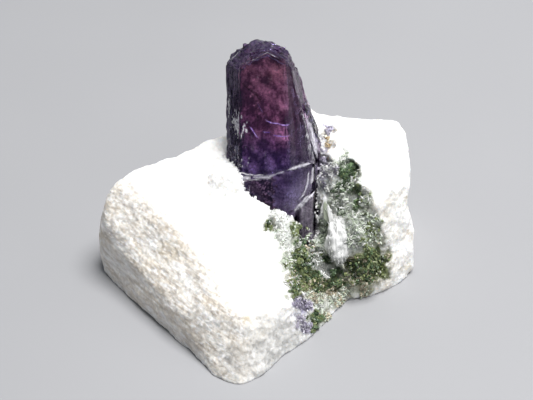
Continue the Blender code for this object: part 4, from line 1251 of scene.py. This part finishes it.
def grain_finishes():
    return {
        "dark": grain_finish("diopside_dark", (0.012, 0.030, 0.012), (0.10, 0.16, 0.07), 0.5),
        "olive": grain_finish("diopside_olive", (0.045, 0.065, 0.02), (0.20, 0.235, 0.09), 0.5),
        "pale": grain_finish("diopside_pale", (0.22, 0.27, 0.18), (0.62, 0.68, 0.56), 0.6, scatter=0.2),
        "white": grain_finish("calcite_white", (0.62, 0.62, 0.59), (0.86, 0.86, 0.84), 0.7, scatter=0.4),
        "clear": grain_finish("calcite_clear", (0.44, 0.46, 0.40), (0.78, 0.79, 0.74), 0.5, 0.25),
        "tan": grain_finish("grains_tan", (0.18, 0.14, 0.08), (0.56, 0.50, 0.38), 0.6),
        "violet": grain_finish("scapolite_granular", (0.20, 0.17, 0.27), (0.57, 0.54, 0.62), 0.35, 0.3),
        "brown": grain_finish("phlogopite", (0.22, 0.13, 0.05), (0.72, 0.58, 0.36), 0.2, 0.1),
    }


GRAIN_SLOTS = {
    "dark": "diopside", "olive": "diopside", "pale": "diopside", "white": "marble", "clear": "marble",
    "tan": "marble", "violet": "granular_scapolite", "brown": "phlogopite",
}


def grains(block, tree):
    """All the grains in the hollow and beside the crystal, one piece for each kind."""
    rng = random.Random(5)
    (left, right), (top, low) = GRAIN_WINDOW
    candidates = []
    polygons = block.data.polygons
    for polygon, u, v in zip(polygons, *pixels_of([polygon.center for polygon in polygons])):
        if left < u < right and top < v < low:
            near = any(math.hypot(u - x, v - y) < radius + WANDER for (x, y), radius, kinds in CLUMPS)
            if near and in_view(polygon.center, tree):
                corners = [block.data.vertices[n].co for n in polygon.vertices]
                for _ in range(SITES_A_FACE):
                    shares = [rng.random() for corner in corners]
                    place = sum((c * s for c, s in zip(corners, shares)), Vector()) / sum(shares)
                    candidates.append((place, polygon.normal.copy()))
    shapes = {}
    for point, normal in spread(candidates, GRAIN_SPACING, rng):
        kind = kind_at(*pixels_of(point), rng)
        if kind:
            size, long = GRAIN_SIZES[kind]
            size *= MM * rng.choice(GRAIN_STEPS)
            shapes.setdefault(kind, []).append(grain(rng, point, normal, size, long))
    finishes = grain_finishes()
    for kind, found in shapes.items():
        add_shapes(f"grains_{kind}", found, finishes[kind], GRAIN_SLOTS[kind])
    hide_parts("diopside_crust")
    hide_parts("diopside_grain")
    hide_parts("scapolite_grains_lower", "scapolite_grains_upper", "scapolite_grain_back")
    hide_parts("phlogopite_grain")


CRUMB_REACH, CRUMB_GRAIN, CRUMB_SPACING = 0.45 * MM, 0.32 * MM, 0.6  # spacing as a share of the grain
CRUMBS_FROM = 0.3 * MM  # the lowest crumb's height


def crumbs(block, crystal_surface):
    """Crumbs of marble round the crystal's foot."""
    rng = random.Random(9)
    faces = [(p.center.copy(), p.normal.copy()) for p in block.data.polygons if p.center.z > CRUMBS_FROM]
    near = [f for f in faces if distance_beside(*f, crystal_surface, CRUMB_REACH) is not None]
    shapes = []
    for point, normal in spread(near, CRUMB_GRAIN * CRUMB_SPACING, rng):
        shapes.append(grain(rng, point, normal, CRUMB_GRAIN * rng.uniform(0.5, 1.3)))
    finish = grain_finish("marble_crumbs", (0.76, 0.75, 0.74), (0.90, 0.90, 0.90), 0.6, scatter=0.3)
    add_shapes("marble_crumbs", shapes, finish, "marble")


LUMP_LOW, LUMP_HIGH = Vector((9.7, -2.9, 5.0)) * MM, Vector((9.6, -0.8, 9.0)) * MM
LUMP_WIDE, LUMP_TALL = 1.4 * MM, 2.6 * MM
LUMP_STRIAE, LUMP_STRETCH, LUMP_DEPTH = 0.24, 22.0, 0.13  # millimetres across, stretch along, depth
LUMP_SWELL, LUMP_SWELL_SIZE = 0.40, 1.5
LUMP_SPLIT, LUMP_SPLIT_SIZE = 0.6, 0.35  # its ends are split into fibres
NEEDLES, NEEDLE_WIDE, NEEDLE_LONG = 420, 0.11, (0.3, 0.7)  # on its rim, in millimetres
NEEDLE_TILT, NEEDLE_SPREAD, NEEDLE_SUNK = 0.12, 0.16, 0.03  # the last in millimetres
NEEDLE_SEATS = -0.2, 0.75  # how far the places with needles face the camera
# Slim crystals at the large one's right foot: pixels of the foot and the tip, width in millimetres, finish
SLIVERS = [
    ((326.5, 219), (324.3, 197), 0.5, "green"), ((331.5, 221), (327.5, 203), 0.45, "white"),
    ((321.5, 217), (322.8, 202), 0.35, "white"), ((325.4, 205), (324.0, 194.5), 0.40, "white"),
]
SLIVER_OUT = 0.35, 0.55  # millimetres that their feet and tips stand out of the marble


def calcite_finish():
    return grain_finish("calcite_lump", (0.62, 0.62, 0.60), (0.88, 0.88, 0.87), 0.8, scatter=0.6)


def calcite_lump():
    """The white calcite in the hollow, striated along its length and fuzzy with needles at its rim."""
    along = LUMP_HIGH - LUMP_LOW
    turn = along.to_track_quat("Z", "Y").to_matrix()
    bm = bmesh.new()
    bmesh.ops.create_icosphere(bm, subdivisions=6, radius=1.0)
    for vert in bm.verts:
        way = vert.co.copy()
        point = Vector((way.x * LUMP_WIDE, way.y * LUMP_WIDE * 0.8, way.z * LUMP_TALL)) / MM
        streak = clouds(Vector((point.x, point.y, point.z / LUMP_STRETCH)), LUMP_STRIAE)
        swell = LUMP_SWELL * clouds(point, LUMP_SWELL_SIZE, layers=2) + LUMP_DEPTH * streak
        split = noise.noise(Vector((point.x, point.y, 0)) / LUMP_SPLIT_SIZE)
        swell += LUMP_SPLIT * max(0.0, abs(way.z) - 0.5) * split
        point += Vector((way.x, way.y, way.z * 1.4)) * swell
        vert.co = (LUMP_LOW + LUMP_HIGH) / 2 + turn @ point * MM
    bm.normal_update()
    rng = random.Random(33)
    toward = -camera_axes()[2]
    seats = [v for v in bm.verts if NEEDLE_SEATS[0] < v.normal.dot(toward) < NEEDLE_SEATS[1]]
    shapes = []
    for vert in rng.sample(seats, NEEDLES):
        loose = Vector([rng.gauss(0, NEEDLE_SPREAD) for _ in range(3)])
        way = (along.normalized() + vert.normal * NEEDLE_TILT + loose).normalized()
        corners, faces = pointed_shape(rng)
        spin = spun(way, rng)
        shape = np.array([NEEDLE_WIDE, NEEDLE_WIDE, rng.uniform(*NEEDLE_LONG)]) * MM * rng.uniform(0.7, 1.2)
        shapes.append((stood(corners, shape, spin, vert.co - vert.normal * NEEDLE_SUNK * MM), faces))
    for polygon in bm.faces:
        polygon.smooth = True
    finish = calcite_finish()
    new_object("calcite_lump", mesh_from(bm, "calcite_lump"), finish, "marble")
    add_shapes("calcite_needles", shapes, finish, "marble")


def place_at(pixel, tree):
    """Where the camera's ray through a pixel meets a surface, with the surface's normal there."""
    right, up, forward = camera_axes()
    size = PICTURE_WIDTH * LENS / SENSOR
    across, down = (pixel[0] - PICTURE_WIDTH / 2) / size, (pixel[1] - PICTURE_HEIGHT / 2) / size
    return tree.ray_cast(camera_place(), (forward + right * across - up * down).normalized())[:2]


def slivers(tree):
    """The slim pale crystals with white tips, at the crystal's right foot."""
    rng = random.Random(3)
    toward = -camera_axes()[2]
    shapes = {"green": [], "white": []}
    for foot, tip, width, kind in SLIVERS:
        low = place_at(foot, tree)[0] + toward * SLIVER_OUT[0] * MM
        high = place_at(tip, tree)[0] + toward * SLIVER_OUT[1] * MM
        corners, faces = pointed_shape(rng)
        turn = (high - low).to_track_quat("Z", "Y").to_matrix()
        size = np.array([width * 1.3 * MM, width * MM, (high - low).length / 1.25])
        shapes[kind].append((stood(corners, size, turn, low + (high - low) * 0.4), faces))
    green = grain_finish("sliver_green", (0.20, 0.25, 0.12), (0.62, 0.66, 0.55), 0.4, 0.2)
    add_shapes("slivers_green", shapes["green"], green, "diopside")
    add_shapes("slivers_white", shapes["white"], calcite_finish(), "marble")


# Setting


def add_floor():
    bm = bmesh.new()
    bmesh.ops.create_grid(bm, x_segments=8, y_segments=8, size=0.8)
    mesh = mesh_from(bm, "floor")
    new_object("floor", mesh, floor_finish())


def add_area_light(name, place, aim, size, power):
    data = bpy.data.lights.new(name, "AREA")
    data.shape = "DISK"
    data.size = size
    data.energy = power
    made = placed(name, data)
    made.location = place
    made.rotation_euler = (Vector(aim) - Vector(place)).to_track_quat("-Z", "Y").to_euler()


def add_light():
    world = bpy.data.worlds.new("studio")
    world.use_nodes = True
    background = world.node_tree.nodes["Background"]
    background.inputs["Color"].default_value = (0.80, 0.84, 0.90, 1.0)
    background.inputs["Strength"].default_value = 0.30
    bpy.context.scene.world = world
    add_area_light("key", (0.08, 0.02, 0.38), (0, 0, 0.01), 0.22, 2.6)
    add_area_light("fill", (0.34, -0.16, 0.10), (0, 0, 0.01), 0.24, 0.38)


bpy.context.scene.view_settings.view_transform = "Standard"
scapolite, crystal_tree = crystal()
stone, stone_tree = marble(crystal_tree)
grains(stone, stone_tree)
crumbs(stone, crystal_tree)
calcite_lump()
slivers(stone_tree)
sheets(crystal_tree)
bruises(crystal_tree)
add_camera()
add_floor()
add_light()
